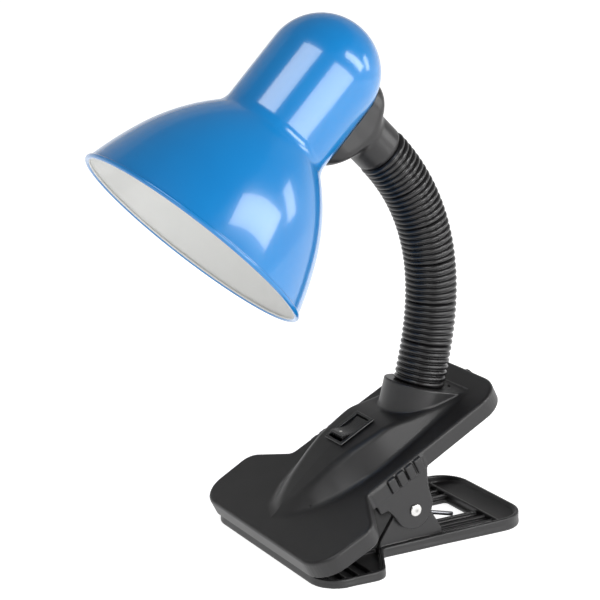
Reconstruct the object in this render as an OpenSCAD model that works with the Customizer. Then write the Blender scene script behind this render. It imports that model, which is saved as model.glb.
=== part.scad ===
// Clip-on reading lamp: a spun steel shade on a gooseneck, carried by a sprung two-jaw clip.
// +X runs from the jaw mouth to the handles, +Z is up, and the lower jaw rests on Z = 0.
// The origin lies on the rest plane, straight below the pivot pin. Lengths are in millimetres.

/* [Clip] */
// Height of the pivot pin's axis above the rest plane
pivot_h = 21; // [20:0.5:23]
// Tilt of the closed upper jaw from the horizontal, in degrees
jaw_tilt = 27.7; // [27:0.1:29]
// Distance from the pin's axis to the top face of the upper jaw's plate
plate_h = 24; // [23.5:0.1:24.5]
// Distance from the pin to the upper jaw's front edge
mouth_reach = 64; // [62:1:65]
// Distance from the pin to the upper jaw's rear edge
handle_reach = 69.5; // [66:0.5:74]
// Half width of the mouth paddle
paddle_half = 57.5; // [52:0.5:60]
// Half width across the ears and the handle
handle_half = 34.5; // [33.5:0.5:36]
// Thickness of the moulded plates
plate_t = 2.5; // [2:0.1:3]
// Thickness of the moulded side walls
wall_t = 2; // [1.6:0.1:2.4]
// Height of the upper jaw's side wall
upper_wall_h = 9; // [8:0.5:10]
// Height of the lower jaw's wall at the mouth
lower_wall_front = 4; // [3.5:0.1:4.2]
// Height of the lower jaw's wall at the handle's end
lower_wall_rear = 6.6; // [5.5:0.1:8]
// Thickness of the lower jaw's floor
floor_t = 2; // [1.6:0.1:2.4]
// Radius of the pivot pin
pin_r = 2.1; // [1.8:0.1:2.5]

/* [Hump and turret] */
// Height of the hump's flat top above the plate
hump_h = 12; // [11:0.5:13]
// Half width of the hump where it meets the plate
hump_half = 24.5; // [23:0.5:26]
// Half width of the hump's flat top
crown_half = 13.5; // [12:0.5:15]
// Radius of the turret that carries the neck
turret_r = 17; // [16:0.5:18]
// Place of the turret's top centre along X
turret_x = 23.6; // [22:0.2:24]
// Height of the turret's top centre
turret_z = 71; // [70:0.2:72]

/* [Switch] */
// Length of the switch bezel
bezel_l = 21; // [20:0.5:22]
// Width of the switch bezel
bezel_w = 15; // [14:0.5:16]
// Place of the switch's centre along the jaw, from the pin
switch_u = 1.5; // [0:0.5:3]
// Angle that the rocker leans at rest, in degrees
rocker_lean = 11; // [8:1:12]

/* [Neck] */
// Outer radius of the corrugated sleeve
neck_r = 12.5; // [12:0.1:13]
// Visible length of the neck
neck_len = 124.9; // [120:0.1:130]
// Lean of the neck where it leaves the turret, in degrees from the vertical
neck_lean = 13.8; // [10:0.2:18]
// Spacing of the sleeve's rings
ring_pitch = 3; // [2.6:0.1:3.4]

/* [Shade] */
// Outer radius of the shade's mouth
shade_r = 59.2; // [58:0.2:62]
// Outer radius of the shade's cylindrical cap
cap_r = 27; // [26.8:0.1:27.4]
// Thickness of the shade's sheet steel
sheet_t = 0.8; // [0.6:0.1:1]
// Length of the shade from its mouth to the centre of the domed end
dome_at = 97.4; // [97:0.2:98]
// Place of the neck's collar along the shade, from its mouth
collar_at = 91.5; // [90:0.5:92]
// Distance from the shade's axis to the collar's outer end
collar_reach = 50; // [49.5:0.1:52]
// Outer radius of the collar
collar_r = 12.1; // [11.8:0.1:12.4]

/* [Lampholder] */
// Inner radius of the screw shell, which takes a 27 mm Edison cap
shell_r = 13.4; // [13.3:0.05:13.5]
// Outer radius of the lampholder's body
holder_r = 17.5; // [17:0.1:17.8]

/* [Hidden] */
$fn = 48;
// Running clearance between the pin and the ears that turn on it
run_fit = 0.05;
// Gap left between pieces that lie against each other
gap = 0.1;
// Overshoot that makes a cut pass clean through a face
cut = 1;
far = 200;

// Neck: one hinge between every two links; each entry is that hinge's bend at rest, in degrees
neck_bends = [4.1, 8.1, 10.5, 12.3, 13, 12];
neck_joints = len(neck_bends);
neck_half = neck_len / (2 * neck_joints);
ball_r = 7;
core_r = 5;
core_bore = 3;
// Room between the sleeves of two links, so that they can bend towards each other
link_gap = 5.2;

black_plastic = "#2a292b";
dark_plastic = "#1d1c1e";
steel = "#c9ccd0";
brass = "#c8a24a";
enamel_blue = "#1f7fc6";
ceramic_white = "#e8e4da";

// ---- Helpers: outlines -------------------------------------------------------------------

function unit(v) = v / norm(v);

// Points of a rounded corner at q between its neighbours p and s, with radius r
function corner(p, q, s, r, steps = 7) =
    let (
        a = unit(p - q),
        b = unit(s - q),
        half = acos(a * b) / 2,
        centre = q + unit(a + b) * r / sin(half),
        start = q + a * r / tan(half) - centre,
        end = q + b * r / tan(half) - centre,
        from = atan2(start.y, start.x),
        turn = (atan2(end.y, end.x) - from + 540) % 360 - 180
    )
    [for (i = [0:steps]) centre + r * [cos(from + turn * i / steps), sin(from + turn * i / steps)]];

function flat_pt(v) = [v[0], v[1]];

// Closed outline through [x, y, corner radius] points
function rounded(pts) =
    [for (i = [0:len(pts) - 1])
        each corner(
            flat_pt(pts[(i + len(pts) - 1) % len(pts)]),
            flat_pt(pts[i]),
            flat_pt(pts[(i + 1) % len(pts)]),
            pts[i][2]
        )];

// The half outline on the +Y side, followed by its mirror image
function both_sides(half) =
    concat(half, [for (i = [len(half) - 1:-1:0]) [half[i][0], -half[i][1], half[i][2]]]);

upper_plan = rounded(both_sides([
    [-mouth_reach, paddle_half - 1, 14],
    [-31, paddle_half + 0.5, 9],
    [-18.5, handle_half, 4],
    [handle_reach, handle_half - 1, 16]
]));

lower_plan = rounded(both_sides([
    [-62, 54.5, 13],
    [-29.5, 55.5, 8],
    [-17.5, handle_half - 0.8, 4],
    [68, handle_half + 0.5, 15]
]));

hump_plan = [for (a = [100:10:260]) [-2 + 50 * cos(a), hump_half * sin(a)]];

module inset(d) {
    offset(delta = -d) children();
}

// ---- Helpers: frames ---------------------------------------------------------------------

// Upper jaw: origin on the pin's axis, +X along the plate to the handle, +Z out of the plate
module jaw_frame() {
    translate([0, 0, pivot_h]) rotate([0, -jaw_tilt, 0]) children();
}

// Lean of neck link k from the vertical, towards +X
function link_lean(k) = k == 0 ? neck_lean : link_lean(k - 1) - neck_bends[k - 1];

function link_len(k) = (k == 0 || k == neck_joints) ? neck_half : 2 * neck_half;

function lean_dir(a) = [sin(a), 0, cos(a)];

// Vertex k of the neck: 0 is the turret's top, 1 to 6 are the hinges, 7 is the collar's end
function vertex(k) =
    k == 0 ? [turret_x, 0, turret_z] : vertex(k - 1) + link_len(k - 1) * lean_dir(link_lean(k - 1));

// Origin at vertex k, +Z along the link that starts there
module link_frame(k) {
    translate(vertex(k)) rotate([0, link_lean(k), 0]) children();
}

// Origin at the collar's outer end, +Z through the collar into the shade
module head_frame() {
    translate(vertex(neck_joints + 1)) rotate([0, link_lean(neck_joints), 0]) children();
}

// +Z along the shade's axis from its mouth to its dome, +X towards the neck
module shade_frame() {
    head_frame() translate([-collar_at, 0, collar_reach]) rotate([0, 90, 0]) children();
}

// ---- Helpers: repeated shapes ------------------------------------------------------------

// A tube along +Z from z0 to z1
module tube(outer, inner, z0, z1) {
    translate([0, 0, z0]) difference() {
        cylinder(r = outer, h = z1 - z0);
        translate([0, 0, -cut]) cylinder(r = inner, h = z1 - z0 + 2 * cut);
    }
}

// A block between two corners
module block(low, high) {
    translate(low) cube(high - low);
}

// A pan-head screw standing on its head at z = 0, with the shank along +Z
module screw(head_r, head_h, shank_r, shank_l) {
    slot_w = 0.8;
    difference() {
        cylinder(r = head_r, h = head_h);
        for (a = [0, 90]) {
            rotate([0, 0, a]) block([-head_r * 0.7, -slot_w / 2, -cut], [head_r * 0.7, slot_w / 2, head_h / 2]);
        }
    }
    translate([0, 0, head_h]) cylinder(r = shank_r, h = shank_l);
}

// ---- Lower jaw ---------------------------------------------------------------------------

window_x = [16, 49];
window_half = 11;
cross_rib_x = 51;
rib_t = 1.6;
lower_ear_y = handle_half - plate_t - 0.3;
ear_r = 9.2;

module lower_wall_top_cut() {
    slope = atan((lower_wall_rear - lower_wall_front) / 130);
    translate([-62, -far / 2, lower_wall_front]) rotate([0, -slope, 0]) block([-50, 0, 0], [far, far, 40]);
}

module lower_ears() {
    for (s = [-1, 1]) {
        translate([0, s * (lower_ear_y - plate_t / 2), 0]) rotate([90, 0, 0])
            linear_extrude(plate_t, center = true) union() {
                translate([0, pivot_h]) circle(r = ear_r);
                polygon([[-20, 0], [20, 0], [17.5, 8], [ear_r - 0.7, pivot_h + 2], [0.7 - ear_r, pivot_h + 2], [-18, 8]]);
            }
    }
}

module lower_ribs() {
    // Long ribs under the handle and a cross rib that ends them
    for (y = [-27, -20.5, -13.5, 13.5, 20.5, 27]) {
        block([12, y - rib_t / 2, floor_t - 0.5], [cross_rib_x, y + rib_t / 2, floor_t + 2]);
    }
    block([cross_rib_x - rib_t / 2, -handle_half + 1, floor_t - 0.5], [cross_rib_x + rib_t / 2, handle_half - 1, 5]);
    // Grip ribs across the mouth
    for (x = [-56, -49, -42, -35]) {
        block([x - rib_t / 2, -paddle_half + 6, floor_t - 0.5], [x + rib_t / 2, paddle_half - 6, lower_wall_front - 0.4]);
    }
    // Two ribs that tie the paddle to the ears
    for (s = [-1, 1]) {
        block([-56, s * 29 - rib_t / 2, floor_t - 0.5], [12, s * 29 + rib_t / 2, lower_wall_front - 0.4]);
    }
}

module lower_jaw() {
    color(black_plastic) difference() {
        union() {
            linear_extrude(floor_t) polygon(lower_plan);
            difference() {
                linear_extrude(10) difference() {
                    polygon(lower_plan);
                    inset(wall_t) polygon(lower_plan);
                }
                lower_wall_top_cut();
            }
            lower_ribs();
            // Raised finger rest behind the cross rib
            intersection() {
                block([cross_rib_x, -handle_half + 1, floor_t - 0.5], [67, handle_half - 1, 3.4]);
                linear_extrude(10) inset(wall_t - 0.2) polygon(lower_plan);
            }
            lower_ears();
        }
        block([window_x[0], -window_half, -cut], [window_x[1], window_half, floor_t + cut]);
        translate([0, 0, pivot_h]) rotate([90, 0, 0]) cylinder(r = pin_r + run_fit, h = far, center = true);
    }
}

// ---- Upper jaw ---------------------------------------------------------------------------

plate_in = plate_h - plate_t;
wall_low = plate_h - upper_wall_h;
crown = plate_h + hump_h;
upper_ear_r = 9.5;
gland_n = 16.6;
gland_hole_r = 4.4;

// The hump's outer form from a height upwards, or its hollow when grown by a negative amount
module hump_form(grow, low) {
    nose = -51 - grow;
    tail = 56 + grow;
    side = hump_half + grow;
    top = crown + grow;
    crown_y = crown_half - 1 + grow / 2;
    edge_r = 3.5;
    hull() {
        // Base outline: half an ellipse at the nose, then sides that narrow to the handle
        translate([0, 0, low]) linear_extrude(0.4) polygon(concat(
            [for (a = [90:10:270]) [-2 + (50 + grow) * cos(a), side * sin(a)]],
            [[22, -side + 1.8], [tail - 8, -side + 5], [tail, -9], [tail, 9], [tail - 8, side - 5], [22, side - 1.8]]
        ));
        // Crown: soft-edged flat top that slopes down to the nose and to the turret
        for (s = [-1, 1]) {
            for (p = [[-5, crown_y + 1, 0], [10, crown_y + 3, 0], [24, crown_y + 4, 3.6]]) {
                translate([p[0], s * (p[1] - edge_r + 1), top - p[2] - edge_r]) sphere(r = edge_r, $fn = 20);
            }
            translate([-18, s * (11 + grow / 2 - 3), top - 2.2 - edge_r]) sphere(r = edge_r, $fn = 20);
            translate([-34, s * (8.5 + grow / 2 - 3), plate_h + 6.2 + grow - 3]) sphere(r = 3, $fn = 16);
        }
        translate([nose + 3.5, 0, plate_h - 0.4 + grow]) sphere(r = 2, $fn = 16);
    }
}

// Everything above the turret's sloping top face
module above_turret(drop) {
    link_frame(0) block([-far, -far, -drop], [far, far, far]);
}

// Upright form under the turret's top face: round towards the switch, straight-sided behind it
module turret_form(r, rear, top, low) {
    difference() {
        link_frame(0) translate([0, 0, top - 60]) linear_extrude(60) union() {
            circle(r = r);
            translate([0, -r]) square([rear, 2 * r]);
        }
        jaw_frame() block([-far, -far, -far], [far, far, low]);
    }
}

screw_places = [[-28, 0], [17, -14], [17, 14]];

module cover_bosses() {
    for (p = screw_places) {
        translate([p[0], p[1], plate_in]) cylinder(r = 3, h = 10);
    }
}

module cover_pilots() {
    for (p = screw_places) {
        translate([p[0], p[1], plate_in - cut]) cylinder(r = 1.3, h = 8 + cut);
    }
}

module ear_ribs() {
    pitch = 5.4;
    for (s = [-1, 1]) {
        for (i = [0:3]) {
            u = -6.7 + i * pitch;
            block([u, s > 0 ? handle_half - 0.5 : -handle_half - 1.3, wall_low + 0.4],
                  [u + pitch - 1, s > 0 ? handle_half + 1.3 : -handle_half + 0.5, plate_h - 0.8]);
        }
    }
}

module upper_ears() {
    for (s = [-1, 1]) {
        translate([0, s * (handle_half - plate_t / 2), 0]) rotate([90, 0, 0])
            linear_extrude(plate_t, center = true) union() {
                circle(r = upper_ear_r);
                polygon([[-upper_ear_r + 0.4, -3], [upper_ear_r - 0.4, -3], [13.4, 10], [16, wall_low + 1],
                         [16, plate_in + 0.5], [-17, plate_in + 0.5], [-17, 9.4], [-12.6, 8.6], [-12.4, 3]]);
            }
    }
}

module switch_cutout() {
    block([switch_u - 9.6, -6.6, plate_in], [switch_u + 9.6, 6.6, crown + cut]);
}

module upper_jaw_shell() {
    linear_extrude(plate_t) polygon(upper_plan);
    translate([0, 0, -upper_wall_h + plate_t]) linear_extrude(upper_wall_h) difference() {
        polygon(upper_plan);
        inset(wall_t) polygon(upper_plan);
    }
}

module upper_jaw() {
    color(black_plastic) difference() {
        union() {
            jaw_frame() difference() {
                union() {
                    translate([0, 0, plate_in]) upper_jaw_shell();
                    hump_form(0, plate_in);
                    upper_ears();
                    ear_ribs();
                    // Thick pad in the rear wall that holds the cord gland
                    block([handle_reach - 4.5, -8, 11.5], [handle_reach, 8, plate_in + 0.5]);
                }
                hump_form(-2, plate_in - 0.2);
            }
            turret_form(turret_r, 15, 0, plate_h - 1);
            jaw_frame() intersection() {
                cover_bosses();
                hump_form(-1, plate_in);
            }
        }
        turret_form(turret_r - 3, 6, -3, plate_in - cut);
        above_neck_bore();
        jaw_frame() {
            cover_pilots();
            switch_cutout();
            rotate([90, 0, 0]) cylinder(r = pin_r + 0.02, h = far, center = true);
            translate([handle_reach - 10, 0, gland_n]) rotate([0, 90, 0]) cylinder(r = gland_hole_r, h = 20);
        }
    }
}

// Hole for the neck's ferrule, and the seat that the sleeve stands in
module above_neck_bore() {
    link_frame(0) {
        translate([0, 0, -20]) cylinder(r = core_r + 0.05, h = 40);
        cylinder(r = neck_r + 0.3, h = 20);
    }
}

// ---- Cover under the hump ----------------------------------------------------------------

cover_t = 2;
cover_low = plate_in - cover_t;

module jaw_cover() {
    channel_low = 12;
    color(dark_plastic) jaw_frame() difference() {
        union() {
            translate([0, 0, cover_low]) linear_extrude(cover_t - gap) polygon(rounded(both_sides([
                [-54, 12, 9],
                [-12, 28, 14],
                [30, 27, 12],
                [62, 12, 4]
            ])));
            // Channel that leads the cord from the gland to the hump
            block([34, -7.5, channel_low], [handle_reach - 4.7, 7.5, cover_low + 0.5]);
        }
        block([36, -5.5, channel_low + cover_t], [handle_reach, 5.5, plate_h]);
        for (p = screw_places) {
            translate([p[0], p[1], 0]) cylinder(r = 1.6, h = far);
        }
    }
}

module cover_screws() {
    color(steel) jaw_frame() for (p = screw_places) {
        translate([p[0], p[1], cover_low - 1.6 - 0.02]) screw(2.8, 1.6, 1.25, 8);
    }
}

module cord_gland() {
    color(dark_plastic) jaw_frame() translate([handle_reach - 4.5, 0, gland_n]) rotate([0, 90, 0]) difference() {
        union() {
            translate([0, 0, 4.55]) cylinder(r = 5, h = 1.6);
            cylinder(r = gland_hole_r - 0.05, h = 5);
        }
        translate([0, 0, -cut]) cylinder(r = 3.3, h = 20);
    }
}

// ---- Pivot -------------------------------------------------------------------------------

head_r = 2.9;
head_h = 1.1;

module pivot_rivet() {
    color(steel) translate([0, 0, pivot_h]) rotate([90, 0, 0]) {
        cylinder(r = pin_r, h = 2 * handle_half + 0.2, center = true);
        for (s = [-1, 1]) {
            translate([0, 0, s * (handle_half + 0.05 + head_h / 2)]) cylinder(r = head_r, h = head_h, center = true);
        }
    }
}

module rivet_washers() {
    inner_y = lower_ear_y - plate_t;
    color(steel) translate([0, 0, pivot_h]) for (s = [-1, 1]) {
        translate([0, s * (inner_y - 0.7), 0]) rotate([90, 0, 0]) difference() {
            cylinder(r = 5, h = 0.8, center = true);
            cylinder(r = pin_r + 0.02, h = 4, center = true);
        }
    }
}

// Torsion spring: a coil about the pin with one arm under each handle
spring_r = 6.2;
wire_r = 1.1;
coil_half = 14;
coil_turns = 11;
upper_arm = jaw_tilt + 18;
lower_arm = -14.5;
arm_len = 38;

// A point on the coil at angle a
function coil_pt(a, y) = [spring_r * cos(a), y, pivot_h + spring_r * sin(a)];

function arm_dir(a) = arm_len * [cos(a), 0, sin(a)];

coil_from = 270 + lower_arm;
coil_sweep = 360 * coil_turns - 180 + upper_arm - lower_arm;
coil_steps = 132;

module torsion_spring() {
    path = concat(
        [coil_pt(coil_from, -coil_half) + arm_dir(lower_arm)],
        [for (i = [0:coil_steps])
            coil_pt(coil_from - coil_sweep * i / coil_steps, coil_half * (2 * i / coil_steps - 1))],
        [coil_pt(90 + upper_arm, coil_half) + arm_dir(upper_arm)]
    );
    color(steel) sweep(path, wire_r, 6);
}

// A round wire of the given radius along a path
module sweep(path, r, sides) {
    n = len(path);
    pts = [for (i = [0:n - 1])
        let (
            t = unit(path[min(i + 1, n - 1)] - path[max(i - 1, 0)]),
            side = unit(cross(t, abs(t.y) > 0.9 ? [1, 0, 0] : [0, 1, 0])),
            up = cross(side, t)
        )
        each [for (k = [0:sides - 1]) path[i] + r * (cos(360 * k / sides) * side + sin(360 * k / sides) * up)]];
    faces = concat(
        [[for (k = [0:sides - 1]) k]],
        [for (i = [0:n - 2]) each [for (k = [0:sides - 1])
            [i * sides + k, (i + 1) * sides + k, (i + 1) * sides + (k + 1) % sides, i * sides + (k + 1) % sides]]],
        [[for (k = [sides - 1:-1:0]) (n - 1) * sides + k]]
    );
    polyhedron(points = pts, faces = faces, convexity = 10);
}

// ---- Switch ------------------------------------------------------------------------------

rocker_n = crown - 1.6;
stub_r = 1.2;

module switch_housing() {
    color(dark_plastic) jaw_frame() translate([switch_u, 0, 0]) difference() {
        union() {
            translate([0, 0, crown + 0.02]) linear_extrude(1.3) polygon(rounded(both_sides([
                [-bezel_l / 2, bezel_w / 2, 1], [bezel_l / 2, bezel_w / 2, 1]
            ])));
            block([-9.5, -6.5, crown - 11], [9.5, 6.5, crown + 0.5]);
        }
        // Well for the rocker, and the holes that its stubs turn in
        block([-8.9, -5.6, crown - 7.5], [8.9, 5.6, crown + 3]);
        translate([0, 0, rocker_n]) rotate([90, 0, 0]) cylinder(r = stub_r + run_fit, h = 20, center = true);
    }
}

module switch_terminals() {
    color(brass) jaw_frame() for (u = [switch_u - 5, switch_u + 2]) {
        block([u - 0.4, -2.4, crown - 11 - 3.3], [u + 0.4, 2.4, crown - 11 - 0.02]);
    }
}

module rocker() {
    half_l = 8;
    dish = 1.5 / 49;
    color(black_plastic) jaw_frame() translate([switch_u, 0, rocker_n]) rotate([90, rocker_lean, 0]) union() {
        linear_extrude(10.4, center = true) polygon(concat(
            [for (a = [200:14:340]) [half_l * 0.86 * cos(a), 4.6 * sin(a) + 0.6]],
            [[half_l, 1.8], [half_l, 3.3], [half_l - 0.8, 3.7]],
            [for (x = [6:-1.5:-6]) [x, 2.2 + dish * x * x]],
            [[0.8 - half_l, 3.7], [-half_l, 3.3], [-half_l, 1.8]]
        ));
        cylinder(r = stub_r, h = 12.4, center = true);
    }
}

// ---- Neck --------------------------------------------------------------------------------

module neck_base_ferrule() {
    color(steel) link_frame(0) union() {
        tube(core_r, core_bore, -7.5, 0.2);
        tube(8, core_bore, 0.05, 1.5);
    }
}

module neck_base_nut() {
    color(steel) link_frame(0) translate([0, 0, -6.2]) difference() {
        cylinder(r = 7.5, h = 3, $fn = 6);
        translate([0, 0, -cut]) cylinder(r = core_r + 0.02, h = 5);
    }
}

// Flexible conduit of link k, with a disc that centres the sleeve and a ball at its upper hinge
module neck_core(k) {
    first = k == 0;
    last = k == neck_joints;
    from = first ? 1.52 : ball_r + 0.3;
    mid = link_len(k) / 2;
    color(steel) link_frame(k) difference() {
        union() {
            difference() {
                translate([0, 0, first ? from : from - 1.9]) cylinder(r = core_r, h = link_len(k) - (first ? from : from - 1.9) - (last ? 1.6 : 0));
                if (!first) {
                    sphere(r = ball_r + 0.3);
                }
            }
            if (!last) {
                translate([0, 0, link_len(k)]) sphere(r = ball_r);
            }
            if (!first && !last) {
                translate([0, 0, mid - 1]) cylinder(r = neck_r - 2.8, h = 2);
            }
        }
        translate([0, 0, -cut]) cylinder(r = core_bore, h = link_len(k) + 20);
    }
}

// Corrugated sleeve between z0 and z1: rounded rings with grooves between them
module corrugated(z0, z1) {
    rings = max(1, round((z1 - z0) / ring_pitch));
    pitch = (z1 - z0) / rings;
    depth = 1.3;
    outer = [for (i = [0:rings - 1]) each [
        [neck_r - depth, z0 + pitch * i],
        [neck_r - depth, z0 + pitch * (i + 0.14)],
        [neck_r - 0.3, z0 + pitch * (i + 0.3)],
        [neck_r, z0 + pitch * (i + 0.5)],
        [neck_r - 0.3, z0 + pitch * (i + 0.7)],
        [neck_r - depth, z0 + pitch * (i + 0.86)]
    ]];
    rotate_extrude() polygon(concat(
        [[neck_r - 2.75, z0]],
        outer,
        [[neck_r - depth, z1], [neck_r - 2.75, z1]]
    ));
}

module neck_sleeve(k) {
    first = k == 0;
    last = k == neck_joints;
    color(black_plastic) link_frame(k)
        corrugated(first ? 0.1 : link_gap, link_len(k) - (last ? 0.1 : link_gap));
}

// ---- Head: ferrule, nut and saddle -------------------------------------------------------

module neck_top_ferrule() {
    color(steel) head_frame() union() {
        tube(core_r - 0.05, core_bore, -1.5, 32.4);
        tube(8, core_bore, -1.5, -0.05);
    }
}

module neck_top_nut() {
    color(steel) head_frame() translate([0, 0, collar_reach - strap_x + strap_t + 0.02]) difference() {
        cylinder(r = 7.5, h = 3, $fn = 6);
        translate([0, 0, -cut]) cylinder(r = core_r - 0.03, h = 6);
    }
}

// The shade's outer skin as a solid, grown outwards
module cap_envelope(grow) {
    cylinder(r = cap_r + grow, h = dome_at);
    translate([0, 0, dome_at]) sphere(r = cap_r + grow, $fn = 96);
}

module shade_saddle() {
    bulge_r = 26.2;
    foot_half = 13;
    foot_side = 11;
    foot_at = collar_at - 3;
    color(black_plastic) shade_frame() difference() {
        union() {
            intersection() {
                translate([12, 0, foot_at]) scale([1, 1, 1.1]) sphere(r = bulge_r, $fn = 96);
                translate([10, 0, foot_at]) rotate([0, 90, 0]) linear_extrude(40) union() {
                    for (s = [-1, 1]) {
                        translate([s * foot_side, 0]) circle(r = foot_half);
                    }
                    square([2 * foot_side, 2 * foot_half], center = true);
                }
            }
            translate([20, 0, collar_at]) rotate([0, 90, 0]) cylinder(r = collar_r, h = collar_reach - 22.2);
            translate([collar_reach - 2.2, 0, collar_at]) rotate([0, 90, 0])
                cylinder(r1 = collar_r, r2 = collar_r - 0.9, h = 2.1);
        }
        cap_envelope(0.05);
        translate([0, 0, collar_at]) rotate([0, 90, 0]) cylinder(r = core_r, h = 80);
    }
}

// ---- Shade -------------------------------------------------------------------------------

rim_r = 1.2;
bell_1 = [170, 27];
bell_2 = [100, 36.5];
rim_slope = 14;

// Point on an arc that starts at p = [z, r] with slope a, after length s on radius c
function arc_pt(p, a, c, s) =
    let (b = a + s / c * 180 / PI)
    [p[0] + c * (sin(b) - sin(a)), p[1] - c * (cos(a) - cos(b)), b];

bell_start = [1.2, shade_r - 0.8];
bell_mid = arc_pt(bell_start, rim_slope, bell_1[0], bell_1[1]);
bell_end = arc_pt(bell_mid, bell_mid[2], bell_2[0], bell_2[1]);
// Concave fillet that brings the bell's slope back to the cylinder
fillet_r = (bell_end[1] - cap_r) / (1 - cos(bell_end[2]));

// Outer line of the shade as [z, r, slope], from the mouth to the dome's top
bell_line = concat(
    [for (i = [0:9]) arc_pt(bell_start, rim_slope, bell_1[0], bell_1[1] * i / 10)],
    [for (i = [0:15]) arc_pt(bell_mid, bell_mid[2], bell_2[0], bell_2[1] * i / 16)],
    [for (i = [0:8]) let (b = bell_end[2] * (1 - i / 8))
        [bell_end[0] + fillet_r * (sin(bell_end[2]) - sin(b)),
         bell_end[1] - fillet_r * (cos(b) - cos(bell_end[2])), b]],
    [for (b = [0:6:84]) [dome_at + cap_r * sin(b), cap_r * cos(b), b]]
);

function inner_pt(p) = [p[1] - sheet_t * cos(p[2]), p[0] - sheet_t * sin(p[2])];

module shade() {
    outer = [for (p = bell_line) [p[1], p[0]]];
    inner = [for (i = [len(bell_line) - 1:-1:0]) inner_pt(bell_line[i])];
    color(enamel_blue) shade_frame() difference() {
        rotate_extrude($fn = 120) union() {
            polygon(concat(
                outer,
                [[0, dome_at + cap_r], [0, dome_at + cap_r - sheet_t]],
                inner
            ));
            translate([shade_r - rim_r, rim_r]) circle(r = rim_r, $fn = 20);
        }
        translate([0, 0, collar_at]) rotate([0, 90, 0]) cylinder(r = core_r, h = 60);
    }
}

// ---- Lampholder --------------------------------------------------------------------------

strap_x = cap_r - 2;
strap_t = 1.2;
strap_half = 7;
plate_z = 105;
holder_mouth_z = 66;
holder_back_z = 97;
terminal_z = holder_back_z + 4.3;

module holder_bracket() {
    color(steel) shade_frame() difference() {
        union() {
            rotate([90, 0, 0]) linear_extrude(2 * strap_half, center = true) polygon([
                [strap_x, 81], [strap_x, 99.6], [17.2, plate_z + strap_t], [0, plate_z + strap_t],
                [0, plate_z], [16.4, plate_z], [strap_x - strap_t, 99.2], [strap_x - strap_t, 81]
            ]);
            translate([0, 0, plate_z]) cylinder(r = 13, h = strap_t);
        }
        translate([0, 0, collar_at]) rotate([0, 90, 0]) cylinder(r = core_r, h = 60);
        for (s = [-1, 1]) {
            translate([0, s * 9, 100]) cylinder(r = 1.6, h = 20);
        }
    }
}

module bracket_screws() {
    color(steel) shade_frame() for (s = [-1, 1]) {
        translate([0, s * 9, plate_z + strap_t + 1.5 + 0.02]) rotate([180, 0, 0]) screw(2.6, 1.5, 1.5, 7);
    }
}

module holder_base() {
    color(ceramic_white) shade_frame() difference() {
        translate([0, 0, holder_back_z + gap]) cylinder(r = 16, h = plate_z - holder_back_z - 2 * gap);
        for (s = [-1, 1]) {
            translate([0, s * 9, plate_z - 6.6]) cylinder(r = 1.52, h = 20);
            // Side pockets for the terminals
            block([-11, s > 0 ? 10.5 : -17, holder_back_z + 2], [-5, s > 0 ? 17 : -10.5, plate_z - 1.4]);
            translate([-8, s * 12, terminal_z]) rotate([90, 0, 0]) cylinder(r = 1.12, h = 8, center = true);
        }
    }
}

module terminal_screws() {
    color(brass) shade_frame() for (s = [-1, 1]) {
        translate([-8, s * 13.6, terminal_z]) rotate([s * 90, 0, 0]) screw(1.9, 1.2, 1.1, 4);
    }
}

module holder_body() {
    color(ceramic_white) shade_frame() union() {
        tube(holder_r, shell_r + 1.05, holder_mouth_z + 1.5, holder_back_z - 4);
        tube(holder_r, 3, holder_back_z - 4.01, holder_back_z);
        tube(holder_r + 1.2, shell_r + 1.05, holder_mouth_z, holder_mouth_z + 2.5);
    }
}

shell_end = holder_mouth_z + 21.5;

module screw_shell() {
    color(brass) shade_frame() union() {
        tube(shell_r + 1, shell_r, holder_mouth_z + 2, shell_end);
        tube(shell_r + 1, shell_r - 5, shell_end - 0.01, shell_end + 0.9);
    }
}

module centre_contact() {
    color(brass) shade_frame() union() {
        translate([0, 0, shell_end + 1.2]) cylinder(r = 3.4, h = 1.2);
        translate([0, 0, shell_end + 2]) cylinder(r = 1.5, h = holder_back_z - shell_end - 1.95);
    }
}

// ---- Assembly ----------------------------------------------------------------------------

lower_jaw();
upper_jaw();
jaw_cover();
cover_screws();
cord_gland();
pivot_rivet();
rivet_washers();
torsion_spring();
switch_housing();
switch_terminals();
rocker();
neck_base_ferrule();
neck_base_nut();
neck_core(0);  // neck_core_0
neck_core(1);  // neck_core_1
neck_core(2);  // neck_core_2
neck_core(3);  // neck_core_3
neck_core(4);  // neck_core_4
neck_core(5);  // neck_core_5
neck_core(6);  // neck_core_6
neck_sleeve(0);  // neck_sleeve_0
neck_sleeve(1);  // neck_sleeve_1
neck_sleeve(2);  // neck_sleeve_2
neck_sleeve(3);  // neck_sleeve_3
neck_sleeve(4);  // neck_sleeve_4
neck_sleeve(5);  // neck_sleeve_5
neck_sleeve(6);  // neck_sleeve_6
neck_top_ferrule();
neck_top_nut();
shade_saddle();
shade();
holder_bracket();
bracket_screws();
holder_base();
terminal_screws();
holder_body();
screw_shell();
centre_contact();
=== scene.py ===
"""Looks of the clip-on reading lamp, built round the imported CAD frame.

Lengths inside the classes are in millimetres, as a drawing has them. They turn to metres only
where a mesh is made. The frame is the CAD's: +X runs from the jaw mouth to the handles, +Z is up,
and the lower jaw rests on Z = 0 with the pivot pin straight above the origin.
"""

import logging
import math
from collections.abc import Callable, Sequence
from dataclasses import dataclass, field
from enum import Enum

import bpy
import numpy as np
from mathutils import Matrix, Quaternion, Vector


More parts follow.
